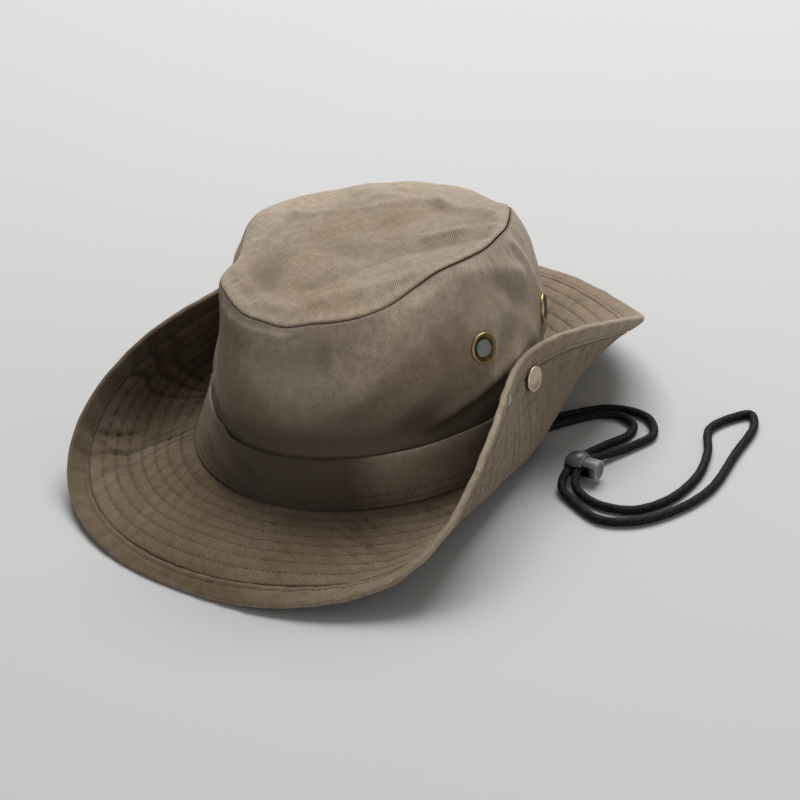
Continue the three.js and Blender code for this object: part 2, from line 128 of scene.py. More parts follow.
def light_the_room():
    scene = bpy.context.scene
    world = bpy.data.worlds.new("surround")
    world.use_nodes = True
    background = world.node_tree.nodes["Background"]
    background.inputs["Color"].default_value = (*SURROUND, 1)
    background.inputs["Strength"].default_value = SURROUND_STRENGTH
    scene.world = world
    scene.view_settings.view_transform = "Standard"
    scene.view_settings.look = "None"
    return [
        add_area_light(name, at, LAMPS_AIM_AT, size, watts, colour)
        for name, (at, size, watts, colour) in LAMPS.items()
    ]


print("lights:", [lamp.name for lamp in light_the_room()])

# %% [markdown]
# ## Meshes from arrays
#
# Blender meshes can be drawn by hand, or grown with modifiers, but cloth with sewn channels is
# easier to control as a formula. Each surface here is an array of points, one column for each
# step round the piece and one row for each step along its profile. A closed profile makes a
# ring like a tyre, and a profile that runs from pole to pole makes a closed cap or a disc.

# %% A surface from a grid of points
def grid_faces(columns, rows, close_rows, poles):
    """Corners of each face as (column, row) pairs, not wrapped, and how many corners each has."""
    span = rows if close_rows else rows - 1
    first, last = (1, span - 1) if poles else (0, span)
    c, r = (a.ravel() for a in np.meshgrid(np.arange(columns), np.arange(first, last), indexing="ij"))
    quads = np.stack([np.stack([c, c + 1, c + 1, c], 1), np.stack([r, r, r + 1, r + 1], 1)], 2)
    corners, totals = [quads.reshape(-1, 2)], [np.full(len(quads), 4)]
    if poles:
        k = np.arange(columns)
        three_columns, row = np.stack([k, k + 1, k], 1), np.ones_like(k)
        before_last, last = (rows - 2) * row, (rows - 1) * row
        near = np.stack([three_columns, np.stack([0 * row, row, row], 1)], 2)
        far = np.stack([three_columns, np.stack([before_last, before_last, last], 1)], 2)
        corners += [near.reshape(-1, 2), far.reshape(-1, 2)]
        totals += [np.full(columns, 3), np.full(columns, 3)]
    return np.concatenate(corners), np.concatenate(totals)


# %% [markdown]
# Blender takes a mesh fastest as whole arrays. Places, corners and faces go in with foreach_set,
# and so do the flat cloth coordinates and the masks that the finishes read.

# %% Arrays into a mesh
def mesh_from(name, vertices, corners, totals, uv=None, masks=None):
    """A mesh from vertices in millimetres and the vertex of every face corner."""
    mesh = bpy.data.meshes.new(name)
    mesh.vertices.add(len(vertices))
    mesh.vertices.foreach_set("co", (vertices * MM).astype(np.float32).ravel())
    mesh.loops.add(len(corners))
    mesh.loops.foreach_set("vertex_index", corners.astype(np.int32))
    mesh.polygons.add(len(totals))
    mesh.polygons.foreach_set("loop_start", (np.cumsum(totals) - totals).astype(np.int32))
    mesh.polygons.foreach_set("use_smooth", np.ones(len(totals), bool))
    mesh.update(calc_edges=True)
    if uv is not None:
        layer = mesh.uv_layers.new(name="cloth")
        layer.uv.foreach_set("vector", (uv * MM).astype(np.float32).ravel())
    for label, values in (masks or {}).items():
        attribute = mesh.attributes.new(label, "FLOAT", "POINT")
        attribute.data.foreach_set("value", np.clip(values, 0, 1).astype(np.float32))
    mesh.validate()
    return mesh


# %% [markdown]
# A face shows its front where its corners run counterclockwise. Whether a piece is inside out
# can be told from its volume: the wedges between its middle and its faces add up to more than
# zero if the faces look outward, and every face is turned round if they don't.

# %% Faces that point outward
def points_outward(vertices, corners, totals):
    """True if the faces, taken as seen from the middle of the piece, point away from it."""
    starts = np.cumsum(totals) - totals
    a, b, c = (vertices[corners[starts + k]] - vertices.mean(0) for k in (0, 1, 2))
    last = vertices[corners[starts + totals - 1]] - vertices.mean(0)
    volumes = np.einsum("ij,ij->i", a, np.cross(b, c)) + np.einsum("ij,ij->i", a, np.cross(c, last))
    return volumes.sum() > 0


def surface(name, points, uv=None, close_rows=False, poles=False, keep=None, masks=None):
    """The mesh of points[column, row], which closes on itself round its columns.

    close_rows joins the last row to the first. poles gathers the first and the last row in one
    point each. keep says which faces stay, one answer for each column and row. uv has one more
    column than points, and one more row if the rows close, so that a pattern meets no seam.
    """
    columns, rows = points.shape[:2]
    corners, totals = grid_faces(columns, rows, close_rows, poles)
    if keep is not None:
        stays = keep.ravel()
        corners, totals = corners[np.repeat(stays, totals)], totals[stays]
    index = (corners[:, 0] % columns) * rows + corners[:, 1] % rows
    if poles:
        index = np.where(corners[:, 1] == 0, 0, index)
        index = np.where(corners[:, 1] == rows - 1, rows - 1, index)
    vertices = points.reshape(-1, 3)
    used, index = np.unique(index, return_inverse=True)
    index = index.ravel()
    corner_uv = None if uv is None else uv[corners[:, 0], corners[:, 1]]
    masks = {
        label: np.broadcast_to(values, points.shape[:2]).ravel()[used]
        for label, values in (masks or {}).items()
    }
    if not points_outward(vertices[used], index, totals):
        starts = np.repeat(np.cumsum(totals) - totals, totals)
        order = starts + np.repeat(totals, totals) - 1 - (np.arange(len(index)) - starts)
        index = index[order]
        corner_uv = None if uv is None else corner_uv[order]
    return mesh_from(name, vertices[used], index, totals, corner_uv, masks)


# %% Pieces that ride on the frame
def add_piece(name, mesh, body, slot, material, *replaced):
    """An object that rides on a body, takes a finish and stands for the pieces it replaces."""
    piece = bpy.data.objects.new(name, mesh)
    bpy.context.scene.collection.objects.link(piece)
    mesh.materials.append(material)
    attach(piece, body)
    if replaced:
        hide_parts(*replaced)
    print(name, len(mesh.vertices), "points")
    return piece


# %% [markdown]
# ## Finishes
#
# A material is a small tree of nodes. What more than one finish needs, such as the weave of
# twill or the tarnish of metal, is a node group with named inputs and outputs, so each material
# places it once with its own values. The cloth's patterns read a UV map in metres of flat
# cloth, as the cutter laid it out, so the weave has one real size on every piece.

# %% Helpers for nodes
def put(tree, kind, inputs=None, **settings):
    """Adds a node; each input is a number, a colour or the output socket that feeds it."""
    made = tree.nodes.new("ShaderNode" + kind)
    for label, value in settings.items():
        setattr(made, label, value)
    for key, value in (inputs or {}).items():
        if isinstance(value, bpy.types.NodeSocket):
            tree.links.new(value, made.inputs[key])
        else:
            made.inputs[key].default_value = value
    return made


def sums(tree, operation, a, b=0.0, c=0.0):
    """One step of arithmetic; MULTIPLY_ADD gives a times b plus c."""
    return put(tree, "Math", {0: a, 1: b, 2: c}, operation=operation).outputs[0]


def noise(tree, vector, scale, detail=2.0, roughness=0.5):
    """The value of a noise texture; roughness says how strong its finer parts are."""
    inputs = {"Vector": vector, "Scale": scale, "Detail": detail, "Roughness": roughness}
    return put(tree, "TexNoise", inputs).outputs[0]


def mix_colours(tree, share, a, b):
    """Colour a where share is 0 and colour b where it is 1."""
    made = put(tree, "Mix", data_type="RGBA", blend_type="MIX")
    for key, value in ((0, share), (6, a), (7, b)):
        if isinstance(value, bpy.types.NodeSocket):
            tree.links.new(value, made.inputs[key])
        else:
            made.inputs[key].default_value = value
    return made.outputs[2]


def new_group(name, inputs, outputs):
    """A node group with named sockets: inputs are (name, kind, value), outputs (name, kind)."""
    group = bpy.data.node_groups.new(name, "ShaderNodeTree")
    for label, kind, value in inputs:
        socket = group.interface.new_socket(label, in_out="INPUT", socket_type="NodeSocket" + kind)
        if value is not None:
            socket.default_value = value
    for label, kind in outputs:
        group.interface.new_socket(label, in_out="OUTPUT", socket_type="NodeSocket" + kind)
    return group, group.nodes.new("NodeGroupInput").outputs, group.nodes.new("NodeGroupOutput").inputs


def use_group(tree, group, inputs):
    made = put(tree, "Group")
    made.node_tree = group
    for key, value in inputs.items():
        if isinstance(value, bpy.types.NodeSocket):
            tree.links.new(value, made.inputs[key])
        else:
            made.inputs[key].default_value = value
    return made.outputs


def new_material(name, **constants):
    """A material with its Principled BSDF; constants are named as its sockets, _ for a space."""
    material = bpy.data.materials.new(name)
    material.use_nodes = True
    shader = material.node_tree.nodes["Principled BSDF"]
    for label, value in constants.items():
        shader.inputs[label.replace("_", " ")].default_value = value
    return material, material.node_tree, shader.inputs


# %% [markdown]
# Twill is woven so that each thread steps one place to the side of the last. That makes fine
# diagonal ribs, here 1.4 mm apart, crossed by the single threads. The group turns flat
# cloth coordinates into a height for the bump and a tone for the colour. It also adds the
# shallow crumpling of washed cloth, too fine for the mesh and too coarse for the weave.

# %% Node group: the weave of twill
TWILL_RIB = 0.0014
TWILL_THREAD = 0.0006
CRUMPLE = 4.5
CRUMPLE_SCALE, SLUB_SCALE, FUZZ_SCALE = 75.0, 420.0, 2600.0


def weave_group():
    """Sines of the run along and across the ribs, bent by noise, plus fuzz and crumple."""
    group, given, out = new_group(
        "twill_weave",
        [
            ("Vector", "Vector", None),
            ("Rib", "Float", TWILL_RIB),
            ("Thread", "Float", TWILL_THREAD),
            ("Crumple", "Float", CRUMPLE),
        ],
        [("Height", "Float"), ("Tone", "Float")],
    )
    crumple = noise(group, given["Vector"], CRUMPLE_SCALE, 4.0, 0.6)
    slub = noise(group, given["Vector"], SLUB_SCALE)
    place = put(group, "SeparateXYZ", {0: given["Vector"]}).outputs
    rib_run = sums(group, "ADD", place[0], place[1])
    thread_run = sums(group, "SUBTRACT", place[0], place[1])
    rib_turn = sums(group, "MULTIPLY_ADD", sums(group, "DIVIDE", rib_run, given["Rib"]), 2 * math.pi, slub)
    thread_turn = sums(group, "MULTIPLY", sums(group, "DIVIDE", thread_run, given["Thread"]), 2 * math.pi)
    rib = sums(group, "SINE", sums(group, "MULTIPLY_ADD", slub, 2.5, rib_turn))
    thread = sums(group, "SINE", sums(group, "MULTIPLY_ADD", slub, 3.0, thread_turn))
    woven = sums(group, "MULTIPLY_ADD", thread, 0.3, sums(group, "MULTIPLY", rib, 0.45))
    fuzz = noise(group, given["Vector"], FUZZ_SCALE, 3.0)
    height = sums(group, "ADD", fuzz, woven)
    group.links.new(sums(group, "MULTIPLY_ADD", crumple, given["Crumple"], height), out["Height"])
    group.links.new(sums(group, "MULTIPLY_ADD", height, 0.4, 0.3), out["Tone"])
    return group


WEAVE = weave_group()

# %% [markdown]
# Washed cotton is never one colour. Brown shows where the dye held and grey where it faded, in
# soft patches, and edges and seams rub pale. Two numbers kept on every point of the cloth tell
# this group where to pale it and where to darken it. The first holds that rubbing and also
# painted highlights; the second, shade, holds dark joints and painted shade, as in the bottoms
# of folds and of stitched rows.

# %% Node group: washed cotton
# Greyer towards +x, +y and the top: partly real fading, partly painted light for cooler light there.
FADE_AND_LIGHT_SIDE = (1.7, 0.9, 1.3)
CLOUD_SCALE, MOTTLE_SCALE = 16.0, 240.0


def washed_group():
    """Brown or grey by noise and by side, times grain; then paled by rubbing and painted highlights, and
    darkened by joints and painted shade.
    """
    group, given, out = new_group(
        "washed_cotton",
        [
            ("Vector", "Vector", None),
            ("Brown", "Color", (0.2, 0.14, 0.09, 1)),
            ("Grey", "Color", (0.2, 0.17, 0.13, 1)),
            ("Rubbed_And_Lit", "Color", (0.42, 0.34, 0.26, 1)),
            ("Deep", "Color", (0.06, 0.045, 0.03, 1)),
            ("Wear_And_Highlight", "Float", 0.0),
            ("Shade", "Float", 0.0),
            ("Tone", "Float", 0.5),
        ],
        [("Color", "Color"), ("Fade", "Float")],
    )
    cloud = noise(group, given["Vector"], CLOUD_SCALE, 4.0, 0.55)
    way = {0: given["Vector"], 1: FADE_AND_LIGHT_SIDE}
    side = put(group, "VectorMath", way, operation="DOT_PRODUCT").outputs["Value"]
    patches = put(group, "MapRange", {0: sums(group, "ADD", cloud, side), 1: 0.34, 2: 0.76})
    patches.interpolation_type = "SMOOTHSTEP"
    mottle = noise(group, given["Vector"], MOTTLE_SCALE, 6.0, 0.75)
    body = mix_colours(group, patches.outputs[0], given["Brown"], given["Grey"])
    grain = sums(group, "MULTIPLY_ADD", mottle, 1.1, 0.45)
    grain = sums(group, "MULTIPLY", grain, sums(group, "MULTIPLY_ADD", given["Tone"], 1.3, 0.35))
    toned = put(group, "VectorMath", {0: body}, operation="SCALE")
    group.links.new(grain, toned.inputs["Scale"])
    ragged = sums(group, "MULTIPLY_ADD", mottle, 1.4, -0.2)
    wear_and_highlight = put(group, "Clamp", {0: sums(group, "MULTIPLY", given["Wear_And_Highlight"], ragged)}).outputs[0]
    rubbed_and_lit = mix_colours(group, wear_and_highlight, toned.outputs[0], given["Rubbed_And_Lit"])
    shade = put(group, "Clamp", {0: given["Shade"]}).outputs[0]
    group.links.new(mix_colours(group, shade, rubbed_and_lit, given["Deep"]), out["Color"])
    group.links.new(patches.outputs[0], out["Fade"])
    return group


WASHED = washed_group()


# %% Cloth and thread
WEAVE_DEPTH = 0.00026
CLOTH_SHINE = {"Sheen_Weight": 0.12, "Sheen_Roughness": 0.5, "Specular_IOR_Level": 0.25}


def cloth_material(name, brown, grey, rubbed_and_lit, deep, roughness):
    """Washed colour and woven relief, with the masks and the flat cloth that its mesh carries."""
    material, tree, shader = new_material(name, **CLOTH_SHINE)
    flat = put(tree, "UVMap", uv_map="cloth").outputs[0]
    here = put(tree, "TexCoord").outputs["Object"]
    wear_and_highlight = put(tree, "Attribute", attribute_name="wear_and_highlight").outputs["Fac"]
    shade = put(tree, "Attribute", attribute_name="shade").outputs["Fac"]
    weave = use_group(tree, WEAVE, {"Vector": flat})
    cloth_colours = {"Brown": (*brown, 1), "Grey": (*grey, 1), "Rubbed_And_Lit": (*rubbed_and_lit, 1), "Deep": (*deep, 1)}
    given = {"Vector": here, "Wear_And_Highlight": wear_and_highlight, "Shade": shade, "Tone": weave["Tone"]}
    washed = use_group(tree, WASHED, {**cloth_colours, **given})
    tree.links.new(washed["Color"], shader["Base Color"])
    tree.links.new(sums(tree, "MULTIPLY_ADD", washed["Fade"], 0.06, roughness), shader["Roughness"])
    bump = put(tree, "Bump", {"Height": weave["Height"], "Strength": 0.65, "Distance": WEAVE_DEPTH})
    tree.links.new(bump.outputs[0], shader["Normal"])
    return material


TWILL = cloth_material(
    "washed_twill",
    brown=(0.19, 0.125, 0.07),
    grey=(0.255, 0.206, 0.158),
    rubbed_and_lit=(0.42, 0.35, 0.275),
    deep=(0.07, 0.05, 0.033),
    roughness=0.86,
)
# The brim and hem are the same twill; their darker colours are painted shade.
SHADED_QUILTING = cloth_material(
    "washed_quilting_shaded",
    brown=(0.12, 0.078, 0.042),
    grey=(0.192, 0.143, 0.096),
    rubbed_and_lit=(0.36, 0.295, 0.225),
    deep=(0.045, 0.032, 0.021),
    roughness=0.88,
)


def thread_material(name, colour, pale):
    material, tree, shader = new_material(name, Sheen_Weight=0.1, Sheen_Roughness=0.4)
    here = put(tree, "TexCoord").outputs["Object"]
    speckle = noise(tree, here, 900.0, 3.0)
    tree.links.new(mix_colours(tree, speckle, (*colour, 1), (*pale, 1)), shader["Base Color"])
    tree.links.new(sums(tree, "MULTIPLY_ADD", speckle, 0.2, 0.6), shader["Roughness"])
    bump = put(tree, "Bump", {"Height": speckle, "Strength": 0.4, "Distance": 0.0001})
    tree.links.new(bump.outputs[0], shader["Normal"])
    return material


THREAD = thread_material("sewing_thread", (0.04, 0.029, 0.019), (0.1, 0.075, 0.05))
FADED_THREAD = thread_material("faded_thread", (0.1, 0.075, 0.05), (0.17, 0.135, 0.095))
print("cloth materials:", TWILL.name, SHADED_QUILTING.name, THREAD.name, FADED_THREAD.name)

# %% [markdown]
# The metal is antique brass: a dark brown finish rubbed through to bright brass on its rims. The
# lock is moulded plastic with a soft shine, and the cord is braided from matt black yarn. A
# tarnish group gives patches and fine scratches to the brass, the wire and the plastic.

# %% Node group: tarnish and handling marks
SCRATCH_WAY = (1.0, 0.15, 0.4)


def tarnish_group():
    """Patches are noise with its middle steepened; scratches are fine noise drawn out in one way."""
    group, given, out = new_group(
        "tarnish",
        [
            ("Vector", "Vector", None),
            ("Patch Scale", "Float", 300.0),
            ("Scratch Scale", "Float", 2500.0),
        ],
        [("Patches", "Float"), ("Scratches", "Float")],
    )
    cloud = noise(group, given["Vector"], given["Patch Scale"], 4.0)
    patches = put(group, "MapRange", {0: cloud, 1: 0.38, 2: 0.66}, interpolation_type="SMOOTHSTEP")
    stretched = put(group, "VectorMath", {0: given["Vector"], 1: SCRATCH_WAY}, operation="MULTIPLY")
    lines = noise(group, stretched.outputs[0], given["Scratch Scale"])
    group.links.new(patches.outputs[0], out["Patches"])
    group.links.new(lines, out["Scratches"])
    return group


TARNISH = tarnish_group()


# %% Brass, wire and plastic
def hard_material(name, dark, bright, roughness, patch_scale, relief, **constants):
    """A finish that shifts from dark to bright with the piece's rubbing and painted highlight, and with
    tarnish.
    """
    material, tree, shader = new_material(name, **constants)
    here = put(tree, "TexCoord").outputs["Object"]
    wear_and_highlight = put(tree, "Attribute", attribute_name="wear_and_highlight").outputs["Fac"]
    marks = use_group(tree, TARNISH, {"Vector": here, "Patch Scale": patch_scale})
    share = put(tree, "Clamp", {0: sums(tree, "MULTIPLY_ADD", marks["Patches"], 0.2, wear_and_highlight)}).outputs[0]
    tree.links.new(mix_colours(tree, share, (*dark, 1), (*bright, 1)), shader["Base Color"])
    rough = sums(tree, "MULTIPLY_ADD", marks["Scratches"], 0.22, roughness)
    tree.links.new(rough, shader["Roughness"])
    bump = put(tree, "Bump", {"Height": marks["Scratches"], "Strength": 0.25, "Distance": relief})
    tree.links.new(bump.outputs[0], shader["Normal"])
    return material


BRASS = hard_material(
    "antique_brass",
    dark=(0.055, 0.043, 0.023),
    bright=(0.44, 0.31, 0.14),
    roughness=0.28,
    patch_scale=420.0,
    relief=0.00005,
    Metallic=1.0,
)
CAP_BRASS = hard_material(
    "cap_brass",
    dark=(0.36, 0.28, 0.21),
    bright=(0.8, 0.67, 0.53),
    roughness=0.3,
    patch_scale=260.0,
    relief=0.00005,
    Metallic=1.0,
)
WIRE = hard_material(
    "vent_wire",
    dark=(0.36, 0.37, 0.385),
    bright=(0.66, 0.67, 0.69),
    roughness=0.4,
    patch_scale=700.0,
    relief=0.00003,
    Metallic=0.5,
)
PLASTIC = hard_material(
    "lock_plastic",
    dark=(0.008, 0.0095, 0.011),
    bright=(0.21, 0.22, 0.225),
    roughness=0.25,
    patch_scale=160.0,
    relief=0.00004,
    Specular_IOR_Level=0.35,
)

# %% Braided yarn
BRAID_RIB = 0.0013
BRAID_RIBS = math.pi / 10 / BRAID_RIB
BRAID_SHINE = {"Sheen_Weight": 0.02, "Sheen_Roughness": 0.4, "Specular_IOR_Level": 0.15}
YARN_DARK, YARN_LIT = (0.002, 0.002, 0.0025, 1), (0.05, 0.045, 0.053, 1)
BETWEEN_BUNDLES = (0.001, 0.001, 0.0015, 1)


def braid_material(name):
    """Dark yarn with fine cross ribs. A wave texture turns 20 radians in each unit of its scale."""
    material, tree, shader = new_material(name, **BRAID_SHINE)
    flat = put(tree, "UVMap", uv_map="cloth").outputs[0]
    shade = put(tree, "Attribute", attribute_name="shade").outputs["Fac"]
    fibres = noise(tree, flat, 3200.0, 3.0)
    grain = noise(tree, flat, 620.0)
    lit = put(tree, "MapRange", {0: grain, 1: 0.42, 2: 0.62}).outputs[0]
    bands = {"Vector": flat, "Scale": BRAID_RIBS, "Distortion": 3.0}
    ribs = put(tree, "TexWave", bands, bands_direction="Y").outputs[1]
    seen = sums(tree, "MULTIPLY", lit, sums(tree, "MULTIPLY_ADD", ribs, 1.1, 0.2))
    yarn = mix_colours(tree, sums(tree, "MULTIPLY", fibres, seen), YARN_DARK, YARN_LIT)
    tree.links.new(mix_colours(tree, shade, yarn, BETWEEN_BUNDLES), shader["Base Color"])
    tree.links.new(sums(tree, "MULTIPLY_ADD", fibres, 0.25, 0.55), shader["Roughness"])
    raised = sums(tree, "MULTIPLY_ADD", ribs, 0.8, fibres)
    bump = put(tree, "Bump", {"Height": raised, "Strength": 0.6, "Distance": 0.0002})
    tree.links.new(bump.outputs[0], shader["Normal"])
    return material


BRAID = braid_material("braided_yarn")


# %% Floor finish
def floor_material():
    material, tree, shader = new_material("pale_floor", Specular_IOR_Level=0.2)
    here = put(tree, "TexCoord").outputs["Object"]
    soft = noise(tree, here, 3.0)
    pale = mix_colours(tree, soft, (0.4, 0.404, 0.41, 1), (0.42, 0.424, 0.43, 1))
    tree.links.new(pale, shader["Base Color"])
    tree.links.new(sums(tree, "MULTIPLY_ADD", soft, 0.1, 0.8), shader["Roughness"])
    return material


# %% The floor
FLOOR_REACH = 8000
floor_corners = np.array([[-1, -1, 0], [1, -1, 0], [1, 1, 0], [-1, 1, 0]]) * FLOOR_REACH
floor = bpy.data.objects.new("floor", mesh_from("floor", floor_corners, np.arange(4), np.array([4])))
floor.data.materials.append(floor_material())
bpy.context.scene.collection.objects.link(floor)
floor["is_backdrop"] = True
print("floor:", 2 * FLOOR_REACH * MM, "m across")

# %% [markdown]
# ## The chin cord
#
# The cord is sewn inside the hat at both sides. Here it lies on the floor: from the left side
# it makes a bend, passes through the lock, makes a long loop, comes back through the lock and
# goes under the hat to the right side. Its route is a short list of given places, and a smooth
# curve through them gives as many steps as the braid needs.

# %% The cord's route
CORD = 4.6
CORD_REST = CORD / 2 + 0.1
LOCK_AT = np.array([117.8, 8, 7.25])
LOCK_LEVEL = LOCK_AT[2] - 0.2
STRAND_OFFSET = 2.6
LEFT_STRAND, RIGHT_STRAND = LOCK_AT[0] - STRAND_OFFSET, LOCK_AT[0] + STRAND_OFFSET
CORD_ROUTE = [
    (76.6, 8, 11), (75.4, 14, 3.2), (80.3, 31, CORD_REST), (90, 47, CORD_REST),
    (101, 61, CORD_REST), (112, 65, CORD_REST), (122, 60, CORD_REST), (123.5, 50, CORD_REST),
    (117.5, 36, CORD_REST), (LEFT_STRAND, 24, 4.4), (LEFT_STRAND, 15, LOCK_LEVEL),
    (LEFT_STRAND, 1, LOCK_LEVEL), (117, -8, 3.8), (129, -16.5, CORD_REST), (146, -23, CORD_REST),
    (162, -16, CORD_REST), (175, 3, CORD_REST), (181, 25, CORD_REST), (178.5, 60, CORD_REST),
    (176, 88, CORD_REST), (170, 97, CORD_REST), (163.5, 90.5, CORD_REST), (157.5, 75, CORD_REST),
    (166, 54, CORD_REST), (170.5, 32, CORD_REST), (167, 7, CORD_REST), (156, -8.5, CORD_REST),
    (139, -12, CORD_REST), (124.5, -6.5, 3.8), (RIGHT_STRAND, 1, LOCK_LEVEL),
    (RIGHT_STRAND, 15, LOCK_LEVEL), (122, 24, 4.4), (130, 42, CORD_REST), (134.5, 57, CORD_REST),
    (124, 70.5, CORD_REST), (104, 69.5, CORD_REST), (76.5, 41, CORD_REST), (50, 10, CORD_REST),
    (-10, -3, CORD_REST), (-72, 2, 3), (-76.6, 8, 11),
]


# %% A smooth path through the places
def smooth_path(places, steps, lowest):
    """A centripetal Catmull-Rom curve through the places, that never sinks below lowest.

    Each span is four blends in a triangle: points are mixed pair by pair, in proportion to how
    far the curve has come between their knots, and knots lie apart by the root of the distance.
    """
    p = np.array(places, float)
    ends = np.concatenate([[2 * p[0] - p[1]], p, [2 * p[-1] - p[-2]]])
    gaps = np.sqrt(np.linalg.norm(np.diff(ends, axis=0), axis=1))
    knots = np.concatenate([[0], np.cumsum(gaps)])
    span = np.repeat(np.arange(len(p) - 1), steps)
    share = np.tile(np.arange(steps) / steps, len(p) - 1)
    span, share = np.append(span, len(p) - 2), np.append(share, 1.0)
    t = (knots[span + 1] + share * (knots[span + 2] - knots[span + 1]))[:, None]
    k = [knots[span + i][:, None] for i in range(4)]
    q = [ends[span + i] for i in range(4)]

    def blend(a, b, low, high):
        return ((high - t) * a + (t - low) * b) / (high - low)

    first = [blend(q[i], q[i + 1], k[i], k[i + 1]) for i in range(3)]
    second = [blend(first[i], first[i + 1], k[i], k[i + 2]) for i in range(2)]
    path = blend(second[0], second[1], k[1], k[2])
    path[:, 2] = np.maximum(path[:, 2], lowest)
    return path


def evenly(path, spacing):
    """The same path with its points an even distance apart."""
    run = np.concatenate([[0], np.cumsum(np.linalg.norm(np.diff(path, axis=0), axis=1))])
    places = np.linspace(0, run[-1], int(run[-1] / spacing) + 1)
    return np.stack([np.interp(places, run, path[:, axis]) for axis in range(3)], 1), run[-1]


CORD_STEP, STEPS_BETWEEN_PLACES = 0.62, 40
cord_path, CORD_LENGTH = evenly(smooth_path(CORD_ROUTE, STEPS_BETWEEN_PLACES, CORD_REST), CORD_STEP)
print("cord:", round(CORD_LENGTH), "mm long")

# %% [markdown]
# A braid is two families of yarn bundles, one winding each way, that pass over and under each
# other. Its height at a point is that of whichever bundle is on top there. The formula takes
# the two families as waves of the angle round the cord plus or minus the distance along it,
# and a slower wave chooses which of them lies over the other.

# %% A braided tube
BRAID_BUNDLES = 4
BRAID_PITCH = 8
BRAID_RELIEF = 0.45
CORD_SIDES = 32


def frames_along(path):
    """Side and upper direction at each point of a path, level where the path allows it."""
    ahead = np.gradient(path, axis=0)
    ahead /= np.linalg.norm(ahead, axis=1, keepdims=True)
    side = np.cross(ahead, np.broadcast_to([0.0, 0.0, 1.0], ahead.shape))
    side /= np.linalg.norm(side, axis=1, keepdims=True)
    return side, np.cross(side, ahead)


def braid_height(turn, run):
    """How high the braid stands, 0 to 1, at an angle round the cord and a distance along it."""
    twist = 2 * np.pi * run / BRAID_PITCH
    right, left = turn + twist, turn - twist
    over = 0.5 + 0.5 * np.sin(BRAID_BUNDLES * right) * np.sin(BRAID_BUNDLES * left)
    ridge = np.abs(np.cos(BRAID_BUNDLES * right * 0.5 + np.pi / 4)) ** 0.7
    other = np.abs(np.cos(BRAID_BUNDLES * left * 0.5 + np.pi / 4)) ** 0.7
    return np.maximum(ridge * over, other * (1 - over))


def braided_tube(path, diameter):
    """Points, flat coordinates and shade of a tube round path, with the braid's relief."""
    side, up = frames_along(path)
    turn = np.arange(CORD_SIDES) / CORD_SIDES * 2 * np.pi
    run = np.arange(len(path)) * CORD_STEP
    height = braid_height(turn[:, None], run[None, :])
    radius = diameter / 2 - BRAID_RELIEF * (1 - height)
    ring = np.cos(turn)[:, None, None] * side + np.sin(turn)[:, None, None] * up
    points = path[None] + radius[..., None] * ring
    around_cord = np.arange(CORD_SIDES + 1) / CORD_SIDES * np.pi * diameter
    uv = np.stack(np.broadcast_arrays(around_cord[:, None], run[None, :]), 2)
    points[:, 0], points[:, -1] = path[0], path[-1]
    return points, uv, np.clip(0.9 - 1.3 * height, 0, 1)


cord_points, cord_uv, cord_shade = braided_tube(cord_path, CORD)
cord_mesh = surface("chin_cord", cord_points, cord_uv, poles=True, masks={"shade": cord_shade})
braided_cord = add_piece("braided_cord", cord_mesh, "hat", "braid", BRAID, "chin_cord")

# %% [markdown]
# ## The shape of the cloth
#
# The hat's shape is held by two short tables with a row every thirty degrees, from the back by
# way of the wearer's left to the front. One says how the wall stands and where the top seam
# runs, the other how the brim leaves the crown and how its edge ends. Smooth curves through
# the rows give every angle between. All lengths are millimetres until a mesh is made.

# %% Sizes and tables
CROWN_LENGTH, CROWN_WIDTH, CROWN_HEIGHT = 200, 169.4, 100
TOP_INSET, WALL_SWELL, TOP_DOME, TOP_TAUTNESS = 17, 3.6, 3, 1.7
CROWN_CLOTH, BAND_CLOTH, BRIM_CLOTH, HEM_CLOTH = 1.5, 1.5, 2.4, 3
BAND_HEIGHT, BAND_GAPE, FOOT_FADE = 31, 1.2, 3
BRIM_WIDTH, HEM_WIDTH, BRIM_ROOT, BEND_LENGTH = 67, 10.5, 5, 20
LEAN, SEAM_HEIGHT, SOFTNESS, PRESSED = math.radians(3.7), 5.7, 1, 0.4
SEAM_GAP = 0.35
SLOPE_STEPS = 24

CROWN_TABLE = {
    "inset": [0.98, 1, 1.02, 0.98, 1.28, 0.58, 0.55, 0.82, 1.43, 1.09, 1.05, 1.03],
    "height": [1, 1.02, 1.1, 1.12, 1.05, 0.99, 0.96, 0.99, 0.94, 1.02, 0.99, 1],
    "swell": [1, 0.7, 0.35, 1, 1.05, 1, 1, -1, -1, 1, 1, 1.1],
    "shoulder": [2, 3.5, 4.5, 4, 2.5, 1.5, 1.2, 1.2, 1.2, 1.5, 1.5, 1.5],
    "lift": [0, 0, 0.75, 0, 0, 0, 0, 0, 0, 0, 0, 0],
}
BRIM_TABLE = {
    "leaves": [31, 39, 43, 20, -6, -5, -4, -10, -15, 3, 16, 16],
    "ends": [-6, 9, 55, 95, 74, -2, -53, -8, 79, 106, 60, 4],
    "bend": [0.77, 0.59, 0.14, 0.12, 0.32, 0.72, 0.77, 0.75, 0.44, 0.16, 0.18, 0.63],
}
SEAM_DROP = [
    # millimetres by which the top seam sags, every ten degrees
    0.3, 0.0, 0.4, 0.8, 0.5, 1.0, 2.6, 3.6, 1.2, 0.8, -0.4, -1.1, 1.3, 3.1, 2.3, 1.3, 0.8, 2.8,
    1.9, 2.7, 1.2, 0.2, 0.8, 0.0, 0.6, 1.2, 0.3, 0.9, 1.4, 0.4, 0.2, 1.0, 0.6, 1.3, 0.4, 0.8,
]


# %% Smooth curves
def around(table, column, angle):
    """A smooth closed curve through one column of a table, at angles from the back."""
    return closed_curve(table[column], angle)


